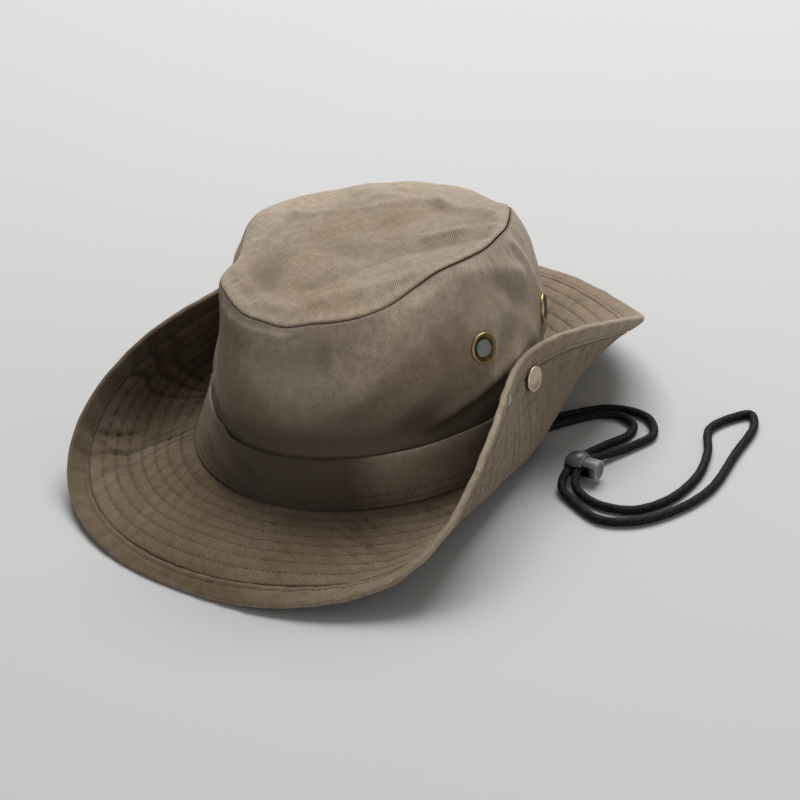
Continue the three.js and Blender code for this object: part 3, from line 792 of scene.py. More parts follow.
def closed_curve(rows, angle):
    """A Catmull-Rom curve through rows spread evenly round the hat: cubics with shared slopes."""
    rows = np.array(rows, float)
    place = angle / (2 * np.pi) * len(rows)
    first = np.floor(place).astype(int)
    t = place - first
    a, b, c, d = (rows[(first + step) % len(rows)] for step in (-1, 0, 1, 2))
    return b + 0.5 * t * (c - a + t * (2 * a - 5 * b + 4 * c - d + t * (3 * (b - c) + d - a)))


def smoothstep(low, high, value):
    """0 up to low, 1 from high on, and between them three squares less two cubes of the share."""
    t = np.clip((value - low) / (high - low), 0, 1)
    return t * t * (3 - 2 * t)


# %% [markdown]
# The seam between crown and brim is an oval, and everything is measured from it: the brim
# outward and the wall upward. The hat is worked out level. Then it leans back a little, as it
# does on its own brim, and cloth that would sink into the floor is laid on it.

# %% The seam, the lean and the floor
def seam_point(angle):
    """The seam between crown and brim: an oval, lifted a little where the cord passes under."""
    x, y = CROWN_WIDTH / 2 * np.sin(angle), CROWN_LENGTH / 2 * np.cos(angle)
    return np.stack([x, y, around(CROWN_TABLE, "lift", angle) * CORD], -1)


def outward(angle):
    """The level direction that stands square to the oval seam at an angle."""
    way = np.stack([np.sin(angle) / CROWN_WIDTH, np.cos(angle) / CROWN_LENGTH, 0 * angle], -1)
    return way / np.linalg.norm(way, axis=-1, keepdims=True)


def lean(p):
    """From the hat's own level to the floor: turned back about X, then lifted to its seam."""
    y = p[..., 1] * math.cos(LEAN) + p[..., 2] * math.sin(LEAN)
    z = p[..., 2] * math.cos(LEAN) - p[..., 1] * math.sin(LEAN) + SEAM_HEIGHT
    return np.stack([p[..., 0], y, z], -1)


def lay_on_floor(p, cloth):
    """Cloth that would sink into the floor lies on it instead, with a soft turn."""
    lowest = cloth / 2 - PRESSED
    above = p[..., 2] - lowest
    laid = p.copy()
    laid[..., 2] = lowest + (above + np.sqrt(above**2 + SOFTNESS**2)) / 2
    return laid


# %% [markdown]
# Cut through, the brim is a line whose slope turns once, from the slope at which it leaves the
# crown to the slope of its edge. Its curve is found by adding up short steps along that slope.
# Cloth keeps its width that way, however hard it is bent.

# %% How the brim bends
def brim_slope(angle, run):
    """The slope goes from its first value to its last along an S curve, centred on the bend."""
    leaves, ends = around(BRIM_TABLE, "leaves", angle), around(BRIM_TABLE, "ends", angle)
    centre = around(BRIM_TABLE, "bend", angle) * BRIM_WIDTH

    def turn(distance):
        return 1 / (1 + np.exp(-4 * (distance - centre) / BEND_LENGTH))

    share = (turn(run) - turn(0)) / (turn(BRIM_WIDTH) - turn(0))
    return np.radians(leaves + (ends - leaves) * share) * smoothstep(0, BRIM_ROOT, run)


def brim_middle(angle, run, cloth=BRIM_CLOTH):
    """Middle of the brim's cloth: the slope is added up, step by step, from the seam outward."""
    angle, run = np.broadcast_arrays(angle, run)
    steps = (np.arange(SLOPE_STEPS) + 0.5) / SLOPE_STEPS
    slopes = brim_slope(angle[..., None], np.maximum(run, 0)[..., None] * steps)
    out = np.cos(slopes).mean(-1) * np.maximum(run, 0) + np.minimum(run, 0)
    point = seam_point(angle) + outward(angle) * out[..., None]
    point[..., 2] += np.sin(slopes).mean(-1) * np.maximum(run, 0)
    return lay_on_floor(lean(point), cloth)


# %% [markdown]
# The wall rises from the seam to the top. Two numbers place each of its points, the angle and
# the share of the height, and a third sets it back behind the outer face, so that the wall, the
# band and the edge of the top panel can all be taken from the same shape.

# %% The face of the crown
def crown_face(angle, share, set_back):
    """Outer face of the crown: share is 0 at the seam with the brim and 1 at the top seam.

    The wall swells as a parabola between its seams and draws in towards the top as a power of
    the share; its foot is kept on the brim, wherever the floor has pressed that. The last term
    is the sag of the top seam, which fades down the wall.
    """
    inset = around(CROWN_TABLE, "inset", angle) * TOP_INSET
    swell = around(CROWN_TABLE, "swell", angle) * WALL_SWELL
    shoulder = around(CROWN_TABLE, "shoulder", angle)
    out = swell * 4 * share * (1 - share) - inset * np.maximum(share, 0) ** shoulder - set_back
    point = seam_point(angle) + outward(angle) * out[..., None]
    point[..., 2] += around(CROWN_TABLE, "height", angle) * CROWN_HEIGHT * share
    point[..., 2] -= closed_curve(SEAM_DROP, angle) * share**4
    leaned = lean(point)
    foot = brim_middle(angle, 0 * angle - set_back)[..., 2] + BRIM_CLOTH / 2 + SEAM_GAP
    lowest = lean(seam_point(angle))[..., 2]
    leaned[..., 2] += (foot - lowest) * np.abs(1 - share) ** FOOT_FADE
    return leaned


def sheet_normals(points):
    """Unit normals of points[column, row], which closes round its columns, facing outward."""
    along = np.gradient(np.concatenate([points[-1:], points, points[:1]]), axis=0)[1:-1]
    across = np.gradient(points, axis=1)
    normal = np.cross(across, along)
    return normal / np.linalg.norm(normal, axis=2, keepdims=True)


# %% [markdown]
# No cloth is quite even. A sum of a few dozen cosines with random lengths and starts gives a
# gentle unevenness that closes on itself round the hat, and a fixed seed keeps it the same.

# %% Uneven waves
def ripples(angle, run, seed, count, turns, slants):
    """Small uneven waves: a sum of cosines of the angle and the run with seeded phases.

    turns is the range of whole waves round the hat, and slants that of the radians by which
    a wave moves on with each millimetre of run.
    """
    draw = np.random.default_rng(seed)
    total = 0 * (angle + run)
    for _ in range(count):
        whole = draw.integers(*turns)
        total = total + np.cos(whole * angle + draw.uniform(*slants) * run + draw.uniform(0, 2 * np.pi))
    return total / math.sqrt(count)


def waves(x, y, seed, count, shortest, longest):
    """Small uneven waves on a plane: a sum of cosines with seeded directions and lengths, in mm."""
    draw = np.random.default_rng(seed)
    total = 0 * (x + y)
    for _ in range(count):
        turn, length, start = draw.uniform(0, np.pi), draw.uniform(shortest, longest), draw.uniform(0, 7)
        run = x * np.cos(turn) + y * np.sin(turn)
        total = total + np.cos(2 * np.pi / length * run + start)
    return total / math.sqrt(count)


# %% [markdown]
# The frame's own hem says where the hat lies. The middle of its box, less the middle of the hem
# that is worked out here, is how far every piece of cloth has to move.

# %% The hat's place in the frame
def place_in_frame():
    """How far the hat's own centre lies from the frame's origin, taken from the brim's edge."""
    angle = (np.arange(60) / 60 * 2 * np.pi)[:, None]
    inner = BRIM_WIDTH - HEM_WIDTH
    runs = np.array([inner + SEAM_GAP / 2, BRIM_WIDTH - HEM_WIDTH / 2, BRIM_WIDTH])[None, :]
    middle = brim_middle(angle, runs, HEM_CLOTH)
    normal = hem_normals(angle, runs)
    faces = np.concatenate([middle + normal * HEM_CLOTH / 2, middle - normal * HEM_CLOTH / 2])
    low, high = (np.array(corner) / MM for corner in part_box("brim_hem"))
    mine = (faces.reshape(-1, 3).min(0) + faces.reshape(-1, 3).max(0)) / 2
    return ((low + high) / 2 - mine) * [1, 1, 0]


def hem_normals(angle, runs):
    """Normals of the hem's middle, from its differences over a small turn and a small step."""
    turn, step = 0.004, 0.1
    along = brim_middle(angle + turn, runs, HEM_CLOTH) - brim_middle(angle - turn, runs, HEM_CLOTH)
    across = brim_middle(angle, runs + step, HEM_CLOTH) - brim_middle(angle, runs - step, HEM_CLOTH)
    normal = np.cross(across, along)
    return normal / np.linalg.norm(normal, axis=-1, keepdims=True)


HAT_AT = place_in_frame()
print("the hat's centre lies at", HAT_AT.round(3), "mm")

# %% [markdown]
# ## Folds and wrinkles
#
# The big dents are in the tables above. What a washed hat adds are soft folds that cross a
# panel, and fine wrinkles. A fold is a bell-shaped ridge along a short line, faded at its ends,
# and a negative height makes it a valley. A table keeps the few that catch the eye, each placed
# on the wall by degrees and share of its height, and on the top in millimetres.

# %% Soft folds
def folds(table, x, y):
    """Adds up ridges: a bell across each line, times a fade beyond the line's two ends."""
    total = 0 * (x + y)
    for x0, y0, x1, y1, width, height in table:
        length = math.hypot(x1 - x0, y1 - y0)
        along = ((x - x0) * (x1 - x0) + (y - y0) * (y1 - y0)) / length
        across = ((x - x0) * (y1 - y0) - (y - y0) * (x1 - x0)) / length
        beyond = np.maximum(0, np.maximum(-along, along - length))
        total = total + height * np.exp(-((across / width) ** 2) - (beyond / (1.6 * width)) ** 2)
    return total


# %% Where the folds lie
WALL_MM_PER_DEGREE = 1.6
WALL_GIRTH = 360 * WALL_MM_PER_DEGREE
FOLD_STRENGTH = 1.5
WALL_FOLDS = [
    # from degrees, share, to degrees, share, width mm, height mm
    (160, 0.96, 158, 0.88, 5, -0.6),
    (150, 0.64, 119, 0.95, 9, 1.3),
    (138, 0.66, 104, 0.86, 8, -1.6),
    (131, 0.58, 99, 0.74, 7, 0.9),
    (127, 0.46, 96, 0.62, 8, -2.0),
    (123, 0.35, 99, 0.45, 2.4, -2.4),
    (200, 0.93, 158, 0.96, 4.5, 1.4),
    (195, 0.83, 158, 0.85, 7, -1.0),
    (196, 0.80, 188, 0.60, 6, 0.8),
    (118, 0.43, 94, 0.52, 5, 1.7),
    (100, 0.97, 81, 0.84, 4.5, 1.6),
    (92, 0.88, 84, 0.74, 6, -1.5),
    (76, 0.97, 71, 0.62, 4, 1.3),
    (212, 0.46, 187, 0.38, 4, 1.8),
    (205, 0.42, 186, 0.38, 4, -1.0),
    (200, 0.80, 186, 0.62, 9, -0.8),
    (250, 0.90, 228, 0.50, 9, 1.2),
    (262, 0.75, 240, 0.40, 7, -1.2),
    (285, 0.92, 300, 0.45, 8, 1.2),
    (310, 0.90, 330, 0.50, 9, -1.3),
    (345, 0.85, 360, 0.45, 9, 1.1),
    (20, 0.90, 45, 0.50, 9, -1.3),
    (30, 0.60, 58, 0.40, 7, 1.0),
]
WALL_PAINTED_LIGHT = [
    # the same measures, with painted highlight above zero and painted shade below
    (168, 0.80, 142, 0.87, 17, 2.4),
    (146, 0.86, 104, 0.93, 9, 2.1),
    (146, 0.56, 112, 0.72, 7, -0.45),
    (205, 0.40, 122, 0.44, 13, -0.7),
    (118, 0.52, 100, 0.60, 5, 0.15),
    (215, 0.70, 186, 0.62, 12, -0.2),
]
TOP_FOLDS = [
    # from x, y, to x, y, width, height, all mm
    (-17, -62, -27, -38, 10, -2.0),
    (-14, -77, 4, -74, 5, 1.2),
    (-56, -20, -57, 6, 7, 1.4),
    (-45, -22, -36, 10, 9, -0.6),
    (-16, 52, 15, 58, 5, 1.2),
    (13, 57, 56, 42, 4, 1.5),
    (20, 46, 52, 30, 8, -0.7),
    (34, 12, 60, 31, 4, 1.4),
    (44, 8, 62, 18, 6, -1.2),
    (20, -56, 34, -18, 8, 1.0),
    (-12, -14, 34, -2, 9, -0.9),
    (-36, 54, -14, 66, 6, 1.1),
    (0, 20, -30, 40, 9, -0.8),
    (22, -62, 46, -28, 5, 1.3),
    (6, -50, 26, -16, 7, -1.0),
    (-46, -17, -44, 8, 4, 1.3),
    (-44, 8, -4, 47, 4, 1.2),
    (-38, -52, -8, -70, 4, 1.0),
]


# %% Folds of the wall
def fold_painted_light(height, high=0.3, low=0.4):
    """Painted highlight on the ridges and painted shade in the valleys, so that the folds show."""
    return high * smoothstep(0.2, 2.6, height), low * smoothstep(0.2, 2.6, -height)


def wall_lines(table, angle, share):
    """Folds of a table in degrees and shares, measured in millimetres along the wall's girth."""
    mm = [
        (a * WALL_MM_PER_DEGREE, s * CROWN_HEIGHT, b * WALL_MM_PER_DEGREE, t * CROWN_HEIGHT, width, rise)
        for a, s, b, t, width, rise in table
    ]
    degrees = np.degrees(angle) % 360
    height = share * CROWN_HEIGHT + 0 * degrees
    return sum(folds(mm, (degrees + turn) * WALL_MM_PER_DEGREE, height) for turn in (-360, 0, 360))


def wall_folds(angle, share):
    """All folds and wrinkles of the wall; they fade out behind the band."""
    height = share * CROWN_HEIGHT
    placed = FOLD_STRENGTH * wall_lines(WALL_FOLDS, angle, share)
    fine = 0.26 * ripples(angle, height, 11, 24, (14, 50), (-0.3, 0.3))
    broad = 0.6 * ripples(angle, height, 12, 10, (3, 9), (-0.06, 0.06))
    gather = 0.2 * ripples(angle, height, 13, 18, (60, 120), (-0.1, 0.1)) * smoothstep(0.84, 0.97, share)
    return (placed + fine + broad + gather) * smoothstep(0.24, 0.42, share)


# %% [markdown]
# ## The wall of the crown
#
# The wall is one strip of twill, sewn to a ring, with its upper edge turned in to meet the top
# panel. Its outer face is a grid of the angle and the share of its height. The faces inside the
# four vent holes are left out, and a Solidify modifier then gives the cloth its thickness and
# closes the edges of the holes too.

# %% Sizes of the wall
WALL_COLUMNS, WALL_ROWS = 600, 80
EDGE_ROLL = 0.9
PANEL_PROUD, PANEL_PILLOW, PANEL_SET_BACK, PANEL_OVERLAP = 1.0, 0.9, 0.5, 0.3
WALL_TOP = 1 - (CROWN_CLOTH - PANEL_PROUD + PANEL_PILLOW - PANEL_OVERLAP) / CROWN_HEIGHT
HOLE_RADIUS = 5.5
VENT_SEAT = CROWN_CLOTH / 2 + 0.7
CLAMP_SINK, CLAMP_FLAT, CLAMP_END, CLAMP_DEPTH = 0.15, 7.5, 13, 12
EYELETS = {
    "left_front": (104, 0.65), "left_back": (68, 0.57),
    "right_front": (256, 0.65), "right_back": (292, 0.57),
}
angles = np.arange(WALL_COLUMNS) / WALL_COLUMNS * 2 * np.pi


# %% Points of the wall
def wall_set_back(share):
    """The wall lies behind the band and comes forward above it; its top edge rolls inward."""
    band_share = BAND_HEIGHT / CROWN_HEIGHT
    behind = (BAND_CLOTH + SEAM_GAP) * (1 - smoothstep(band_share, 1.45 * band_share, share))
    roll = np.clip(1 - (WALL_TOP - share) * CROWN_HEIGHT / EDGE_ROLL, 0, 1)
    return behind + EDGE_ROLL * (1 - np.sqrt(1 - roll**2))


def push(points, normals, distance):
    """Points moved by a distance of their own along their normals."""
    return points + normals * distance[..., None]


def wall_points():
    """The outer face moved along its normals by the folds, with rows packed at its rolled top."""
    rolled = EDGE_ROLL / CROWN_HEIGHT
    tip = WALL_TOP - rolled * (1 - np.sin(np.linspace(0, np.pi / 2, 6)))
    shares = np.concatenate([np.linspace(0, WALL_TOP - rolled, WALL_ROWS - len(tip) + 1)[:-1], tip])
    angle, share = angles[:, None], shares[None, :]
    plain = crown_face(angle + 0 * share, share + 0 * angle, wall_set_back(share) + 0 * angle)
    fade = 1 - smoothstep(0.92, WALL_TOP, share)
    height = wall_folds(angle, share) * fade
    return push(plain, sheet_normals(plain), height) + HAT_AT, shares, height


# %% [markdown]
# A vent's place is worked out once, on the plain wall, and then the folded wall is drawn onto
# its flange. The eyelet itself, further down, uses the same places.

# %% Where the vents sit
def eyelet_place(degrees, share):
    """Point and outward direction of a vent, on the plain wall under the folds."""
    angle = np.radians(degrees)
    a = np.array([angle - 0.004, angle, angle + 0.004])[:, None]
    s = np.array([share - 0.002, share, share + 0.002])[None, :]
    set_back = wall_set_back(s) + CROWN_CLOTH / 2
    patch = crown_face(a + 0 * s, s + 0 * a, set_back + 0 * a)
    normal = np.cross(patch[1, 2] - patch[1, 0], patch[2, 1] - patch[0, 1])
    return patch[1, 1] + HAT_AT, normal / np.linalg.norm(normal)


VENTS = {name: eyelet_place(*place) for name, place in EYELETS.items()}


def flatten_at_vents(points):
    """Draws the wall onto each vent's flange, as the metal clamps it, and marks the hole."""
    open_here = np.zeros(points.shape[:2], bool)
    for centre, normal in VENTS.values():
        rise = (points - centre) @ normal
        radius = np.linalg.norm(points - centre - rise[..., None] * normal, axis=2)
        near = np.abs(rise) < CLAMP_DEPTH
        grip = (1 - smoothstep(CLAMP_FLAT, CLAMP_END, radius)) * near
        points = points + ((VENT_SEAT - CLAMP_SINK - rise) * grip)[..., None] * normal
        open_here |= near & (radius < HOLE_RADIUS)
    return points, open_here


# %% Wall cloth
wall, wall_shares, wall_height = wall_points()
wall, wall_open = flatten_at_vents(wall)
wall_girth = np.arange(WALL_COLUMNS + 1) / WALL_COLUMNS * WALL_GIRTH
wall_uv = np.stack(np.broadcast_arrays(wall_girth[:, None], wall_shares[None, :] * CROWN_HEIGHT), 2)
wall_keep = ~wall_open[:, :-1]
seam_shade = 0.7 * smoothstep(WALL_TOP - 0.7 * EDGE_ROLL / CROWN_HEIGHT, WALL_TOP, wall_shares)
# Painted shade: the wall darkens towards its foot, where the brim keeps light from it.
foot_shade = 0.4 * (1 - smoothstep(0.3, 0.5, wall_shares))
edge_wear = 0.25 * smoothstep(0.93, 0.96, wall_shares) * (1 - smoothstep(0.965, 0.98, wall_shares))
# Painted highlight on the ridges of the folds and painted shade in their valleys.
ridge_highlight, valley_shade = fold_painted_light(wall_height, low=0.22)
# Patches of painted highlight and painted shade on the wall, from the table above.
painted_light = wall_lines(WALL_PAINTED_LIGHT, angles[:, None], wall_shares[None, :])
wall_shade = np.maximum(seam_shade, foot_shade) + valley_shade + np.maximum(-painted_light, 0)
wall_wear_and_light = edge_wear + ridge_highlight + np.maximum(painted_light, 0)
wall_masks = {"shade": wall_shade, "wear_and_highlight": wall_wear_and_light}
wall_mesh = surface("crown_wall", wall, wall_uv, keep=wall_keep, masks=wall_masks)
crown_wall = add_piece("wall_cloth", wall_mesh, "hat", "twill", TWILL, "crown_wall")
wall_thickness = crown_wall.modifiers.new("cloth", "SOLIDIFY")
wall_thickness.thickness = CROWN_CLOTH * MM
wall_thickness.offset = -1

# %% [markdown]
# ## The top panel
#
# The top is an oval of twill, stretched over the seam like a drum and a little domed. Its grid
# runs from the middle of its upper face to the edge, round the turned edge, and back to the
# middle of its under face, so the panel is closed and has its real thickness.

# %% Points of the top panel
TOP_COLUMNS, TOP_RINGS = 480, 64
TOP_HALF_WIDTH = 70
PILLOW_FALL, SAG_FALL = 22, 7
# Where and how strongly the top is painted paler as a highlight.
HIGHLIGHT_TOWARDS, TOP_HIGHLIGHT = math.radians(310), 0.8


def top_panel(angle, reach, drop):
    """From the domed middle to the edge; drop lowers the point below the panel's upper face."""
    middle = lean(np.array([0.0, 0.0, CROWN_HEIGHT + TOP_DOME]))
    edge = crown_face(angle, np.ones_like(angle), np.full_like(angle, PANEL_SET_BACK))
    point = middle + (edge - middle) * reach[..., None]
    sag = closed_curve(SEAM_DROP, angle)
    rise = (edge[..., 2] + sag - middle[2]) * reach**TOP_TAUTNESS - sag * reach**SAG_FALL
    point[..., 2] = middle[2] + rise + PANEL_PROUD - drop
    return point


def top_points():
    """The closed panel with its folds, which fade at the edge, and how far each row lies out and down."""
    half = CROWN_CLOTH / 2
    rounded = 1 - half / TOP_HALF_WIDTH
    turn = np.linspace(0, np.pi, 11)[1:-1]
    inner = np.linspace(0, rounded, TOP_RINGS) ** 0.9
    reach = np.concatenate([inner, rounded + (1 - rounded) * np.sin(turn), inner[::-1]])
    drop = np.concatenate([0 * inner, half * (1 - np.cos(turn)), 0 * inner + CROWN_CLOTH])
    drop = drop + PANEL_PILLOW * reach**PILLOW_FALL
    angle = (np.arange(TOP_COLUMNS) / TOP_COLUMNS * 2 * np.pi)[:, None]
    points = top_panel(angle + 0 * reach, reach + 0 * angle, drop + 0 * angle)
    x, y = points[..., 0], points[..., 1]
    gather = 0.2 * ripples(angle, TOP_HALF_WIDTH * reach, 21, 16, (40, 110), (-0.1, 0.1))
    gather = gather * smoothstep(0.75, 0.97, reach)
    creases = 0.28 * waves(x, y, 22, 22, 14, 46)
    placed = FOLD_STRENGTH * folds(TOP_FOLDS, x, y)
    height = (placed + creases + gather) * (1 - smoothstep(0.9, 1, reach))
    points[..., 2] += height
    return points + HAT_AT, reach, drop, height


# %% Top cloth
top, top_reach, top_drop, top_height = top_points()
top_flat = np.concatenate([top, top[:1]])[..., :2]
top_shade = 0.75 * smoothstep(0.35, 0.8, top_drop - PANEL_PILLOW * top_reach**PILLOW_FALL)
top_wear = 0.3 * smoothstep(0.9, 0.97, top_reach) * (1 - smoothstep(0.975, 0.99, top_reach))
# Painted highlight on the ridges of the folds and painted shade in their valleys.
ridge_highlight, valley_shade = fold_painted_light(top_height)
# Painted highlight: the top is paler towards the back and the wearer's right, where it is lit most.
from_back_right = np.arange(TOP_COLUMNS)[:, None] / TOP_COLUMNS * 2 * np.pi - HIGHLIGHT_TOWARDS
top_painted_highlight = TOP_HIGHLIGHT * smoothstep(-0.2, 0.9, np.cos(from_back_right)) * smoothstep(0.3, 0.9, top_reach)
top_masks = {"shade": top_shade + valley_shade, "wear_and_highlight": top_wear + ridge_highlight + top_painted_highlight}
top_mesh = surface("crown_top", top, top_flat, poles=True, masks=top_masks)
top_piece = add_piece("top_cloth", top_mesh, "hat", "twill", TWILL, "crown_top")

# %% [markdown]
# ## The band
#
# The band is a folded strip round the foot of the crown. It is sewn down by two rows near its
# lower edge, and its upper edge gapes a little, so a dark line shows behind it. Its profile is
# closed: up the outer face, over the fold and down the inner face, and the profile is carried
# round the hat.

# %% Rings of cloth
FLOOR_CLEAR = 0.02


def round_edge(run, thick, way, steps=5):
    """Half a circle of (run, offset) places about run, from the outer face to the inner one."""
    turn = np.linspace(np.pi / 2, -np.pi / 2, steps + 2)[1:-1]
    return np.stack([run + way * thick / 2 * np.cos(turn), thick / 2 * np.sin(turn)], 1)


def ring_profile(outer_runs, inner_runs, thick, low_edge, high_edge):
    """A closed profile: out along the outer face, round the high edge, back, round the low edge."""
    outer = np.stack([outer_runs, np.full(len(outer_runs), thick / 2)], 1)
    inner = np.stack([inner_runs[::-1], np.full(len(inner_runs), -thick / 2)], 1)
    high, low = round_edge(high_edge, thick, 1), round_edge(low_edge, thick, -1)[::-1]
    return np.concatenate([outer, high, inner, low])


def ring_points(middle, angle, profile, relief):
    """Points of a ring: its middle surface, moved along its normal by the offset and relief."""
    runs, offsets = profile[:, 0], profile[:, 1]
    step, turn = 0.15, 0.003
    here = middle(angle[:, None], runs[None, :])
    across = middle(angle[:, None], runs[None, :] + step) - middle(angle[:, None], runs[None, :] - step)
    along = middle(angle[:, None] + turn, runs[None, :]) - middle(angle[:, None] - turn, runs[None, :])
    normal = np.cross(across, along)
    normal /= np.linalg.norm(normal, axis=2, keepdims=True)
    points = push(here, normal, offsets[None, :] + relief) + HAT_AT
    points[..., 2] = np.maximum(points[..., 2], FLOOR_CLEAR)
    return points


def run_along(profile):
    """Distance along a closed profile, with one more value for the step that closes it."""
    closed = np.concatenate([profile, profile[:1]])
    return np.concatenate([[0], np.cumsum(np.linalg.norm(np.diff(closed, axis=0), axis=1))])


def channel(run, at, width):
    """How deep a stitched row pulls the cloth in: 1 on the row, 0 beyond its width."""
    return np.exp(-(((run - at) / width) ** 2))


# %% Sizes of the band
BAND_ROWS = (3.2, 8.0)
BAND_LOW, BAND_HIGH = 0.6, 30.2
BAND_COLUMNS = 480
band_angle = np.arange(BAND_COLUMNS) / BAND_COLUMNS * 2 * np.pi

# every thirty degrees from the back: how far the band gapes, and the painted light and shade on
# its outer face, where numbers above zero are painted shade and those below zero painted highlight
BAND_LOOSE = [0.5, 0.4, 0.2, 0.4, 0.9, 1.0, 0.8, 0.1, 0.0, 0.1, 0.4, 0.5]
BAND_PAINTED_LIGHT = [0.1, 0.1, 0, -0.8, -1.3, 1.0, 1.1, 0.35, 0, 0.1, 0.1, 0.1]
BAND_FOLDS = [
    # from degrees, mm up, to degrees, mm up, width mm, height mm
    (199, 29, 180, 16, 3.2, -1.2),
    (208, 20, 186, 8, 5, 1.5),
    (190, 29, 174, 20, 4, 1.3),
    (180, 16, 163, 12, 4, -0.8),
    (160, 26, 140, 22, 5, 0.7),
    (128, 28, 112, 24, 4, 0.8),
]


# %% Points of the band
def band_middle(angle, height):
    """The crown's face, moved out by half the band's cloth and by a gape that opens upward."""
    gape = BAND_GAPE * closed_curve(BAND_LOOSE, angle) * smoothstep(0.5, 1, height / BAND_HEIGHT)
    angle, height, gape = np.broadcast_arrays(angle, height, gape)
    return crown_face(angle, height / CROWN_HEIGHT, BAND_CLOTH / 2 - gape)


def band_relief(angle, height, offset):
    """Soft folds, rows pulled in by their stitches, and small puckers between them."""
    mm = [
        (a * WALL_MM_PER_DEGREE, s, b * WALL_MM_PER_DEGREE, t, width, rise)
        for a, s, b, t, width, rise in BAND_FOLDS
    ]
    bends = folds(mm, np.degrees(angle) * WALL_MM_PER_DEGREE, height + 0 * angle)
    rows = sum(channel(height, at, 0.9) for at in BAND_ROWS)
    pucker = ripples(angle, height, 31, 20, (70, 130), (-0.1, 0.1)) * np.exp(-(((height - 5.5) / 5) ** 2))
    wave = ripples(angle, height, 32, 12, (6, 22), (-0.08, 0.08)) * smoothstep(8, 24, height)
    outer = np.where(offset > 0, 1.0, 0.35)
    lift = bends * smoothstep(6, 14, height) + 0.22 * wave
    return lift + outer * (0.12 * pucker - 0.16 * rows)


# %% Band cloth
beside_rows = [np.array([-0.7, 0, 0.7]) + at for at in BAND_ROWS]
band_outer = np.unique(np.concatenate([np.linspace(BAND_LOW, BAND_HIGH, 34), *beside_rows]))
band_inner = np.linspace(BAND_LOW, BAND_HIGH, 12)
band_profile = ring_profile(band_outer, band_inner, BAND_CLOTH, BAND_LOW, BAND_HIGH)
band_lift = band_relief(band_angle[:, None], band_profile[None, :, 0], band_profile[None, :, 1])
band = ring_points(band_middle, band_angle, band_profile, band_lift)
band_girth = np.arange(BAND_COLUMNS + 1) / BAND_COLUMNS * WALL_GIRTH
band_uv = np.stack(np.broadcast_arrays(band_girth[:, None], run_along(band_profile)[None, :]), 2)
is_outer = band_profile[:, 1] > -0.2
band_run = band_profile[:, 0]
band_shade = np.where(is_outer, 0.9 * channel(band_run, 0, 0.9), 0.5)
# Painted shade in the grooves of the two stitched rows.
band_shade = np.maximum(band_shade, 0.2 * sum(channel(band_run, at, 0.5) for at in BAND_ROWS))
band_wear = 0.55 * channel(band_run, 30.6, 1.1) + 0.25 * channel(band_run, 1.9, 0.9) * is_outer
# Painted shade and painted highlight on the band's outer face, by angle.
band_painted_light = closed_curve(BAND_PAINTED_LIGHT, band_angle)[:, None] * is_outer
band_masks = {"shade": band_shade + band_painted_light, "wear_and_highlight": band_wear + np.maximum(-band_painted_light, 0)}
band_mesh = surface("hat_band", band, band_uv, close_rows=True, masks=band_masks)
band_piece = add_piece("band_cloth", band_mesh, "hat", "twill", TWILL, "hat_band")

# %% [markdown]
# ## The brim
#
# Two layers of twill are sewn together by rings of stitches about seven millimetres apart. Each
# row pulls the cloth into a shallow channel, the cloth swells between rows, and small puckers
# cross them, because the thread drew up a little when the hat was washed. Where the brim is
# bent up, the shorter inner layer is pushed together into narrow slanting valleys. A valley
# follows the zero line of a sum of waves, so the valleys make an uneven net. Rows of the grid
# are laid closest at the channels, where the shape turns fastest.

# %% Sizes of the brim
QUILT_ROWS = np.array([7.2, 14.0, 20.8, 27.7, 34.7, 41.6, 48.6])
QUILT_DEPTH, QUILT_SWELL = 0.2, 0.12
BRIM_COLUMNS = 720
BRIM_EDGE = BRIM_WIDTH - HEM_WIDTH
TUCK = BAND_CLOTH + SEAM_GAP + CROWN_CLOTH
brim_angle = np.arange(BRIM_COLUMNS) / BRIM_COLUMNS * 2 * np.pi

# every thirty degrees from the back: how hard the brim is drawn up, how much painted shade lies in
# its stitched rows, and the painted light and shade on its upper face and on its hem, where
# numbers above zero are painted shade and those below zero painted highlight
DRAWN = [0.3, 0.6, 0.9, 0.9, 0.9, 0.6, 0.25, 0.8, 1.5, 1.5, 1.0, 0.5]
ROW_PAINTED_SHADE = [0.3, 0.3, 0.3, 0.2, 0.06, 0.08, 0.2, 0.26, 0.4, 0.45, 0.35, 0.4]
BRIM_PAINTED_LIGHT = [0, -0.15, -1.1, -0.1, -0.2, 0.05, 0, 0.1, 0.4, -0.4, -0.5, 0]
HEM_PAINTED_LIGHT = [0, -0.15, -1.1, -0.1, -0.2, 0.05, -0.05, 0.15, 0.55, 0.15, 0, 0]
# Painted shade in the valleys of the net, painted highlight on its crests, and painted light and shade along
# the streaks of the under face.
NET_SHADE, NET_HIGHLIGHT, STREAK_LIGHT_AND_SHADE = 0.4, 0.22, 0.22


# %% Relief of the quilting
def row_wander(angle):
    """The cloth was fed by hand, so its rows drift a little from their even spacing."""
    return 0.65 * ripples(angle, 0 * angle, 41, 8, (2, 11), (0, 0))


def brim_net(angle, run):
    """Slanting valleys and the crests between them, 0 to 1, in patches where the brim is drawn."""
    slant = ripples(angle, run, 43, 20, (20, 56), (0.1, 0.34))
    patches = smoothstep(-0.9, 0.5, ripples(angle, run, 45, 12, (6, 24), (-0.1, 0.1)))
    drawn = patches * closed_curve(DRAWN, angle)
    return np.exp(-((slant / 0.33) ** 2)) * drawn, smoothstep(0.5, 1.3, np.abs(slant)) * drawn


def brim_streaks(angle, run):
    """Fine waves that run out from the crown, as the under layer is drawn up by its stitches."""
    return ripples(angle, run, 46, 24, (40, 150), (-0.12, 0.12))


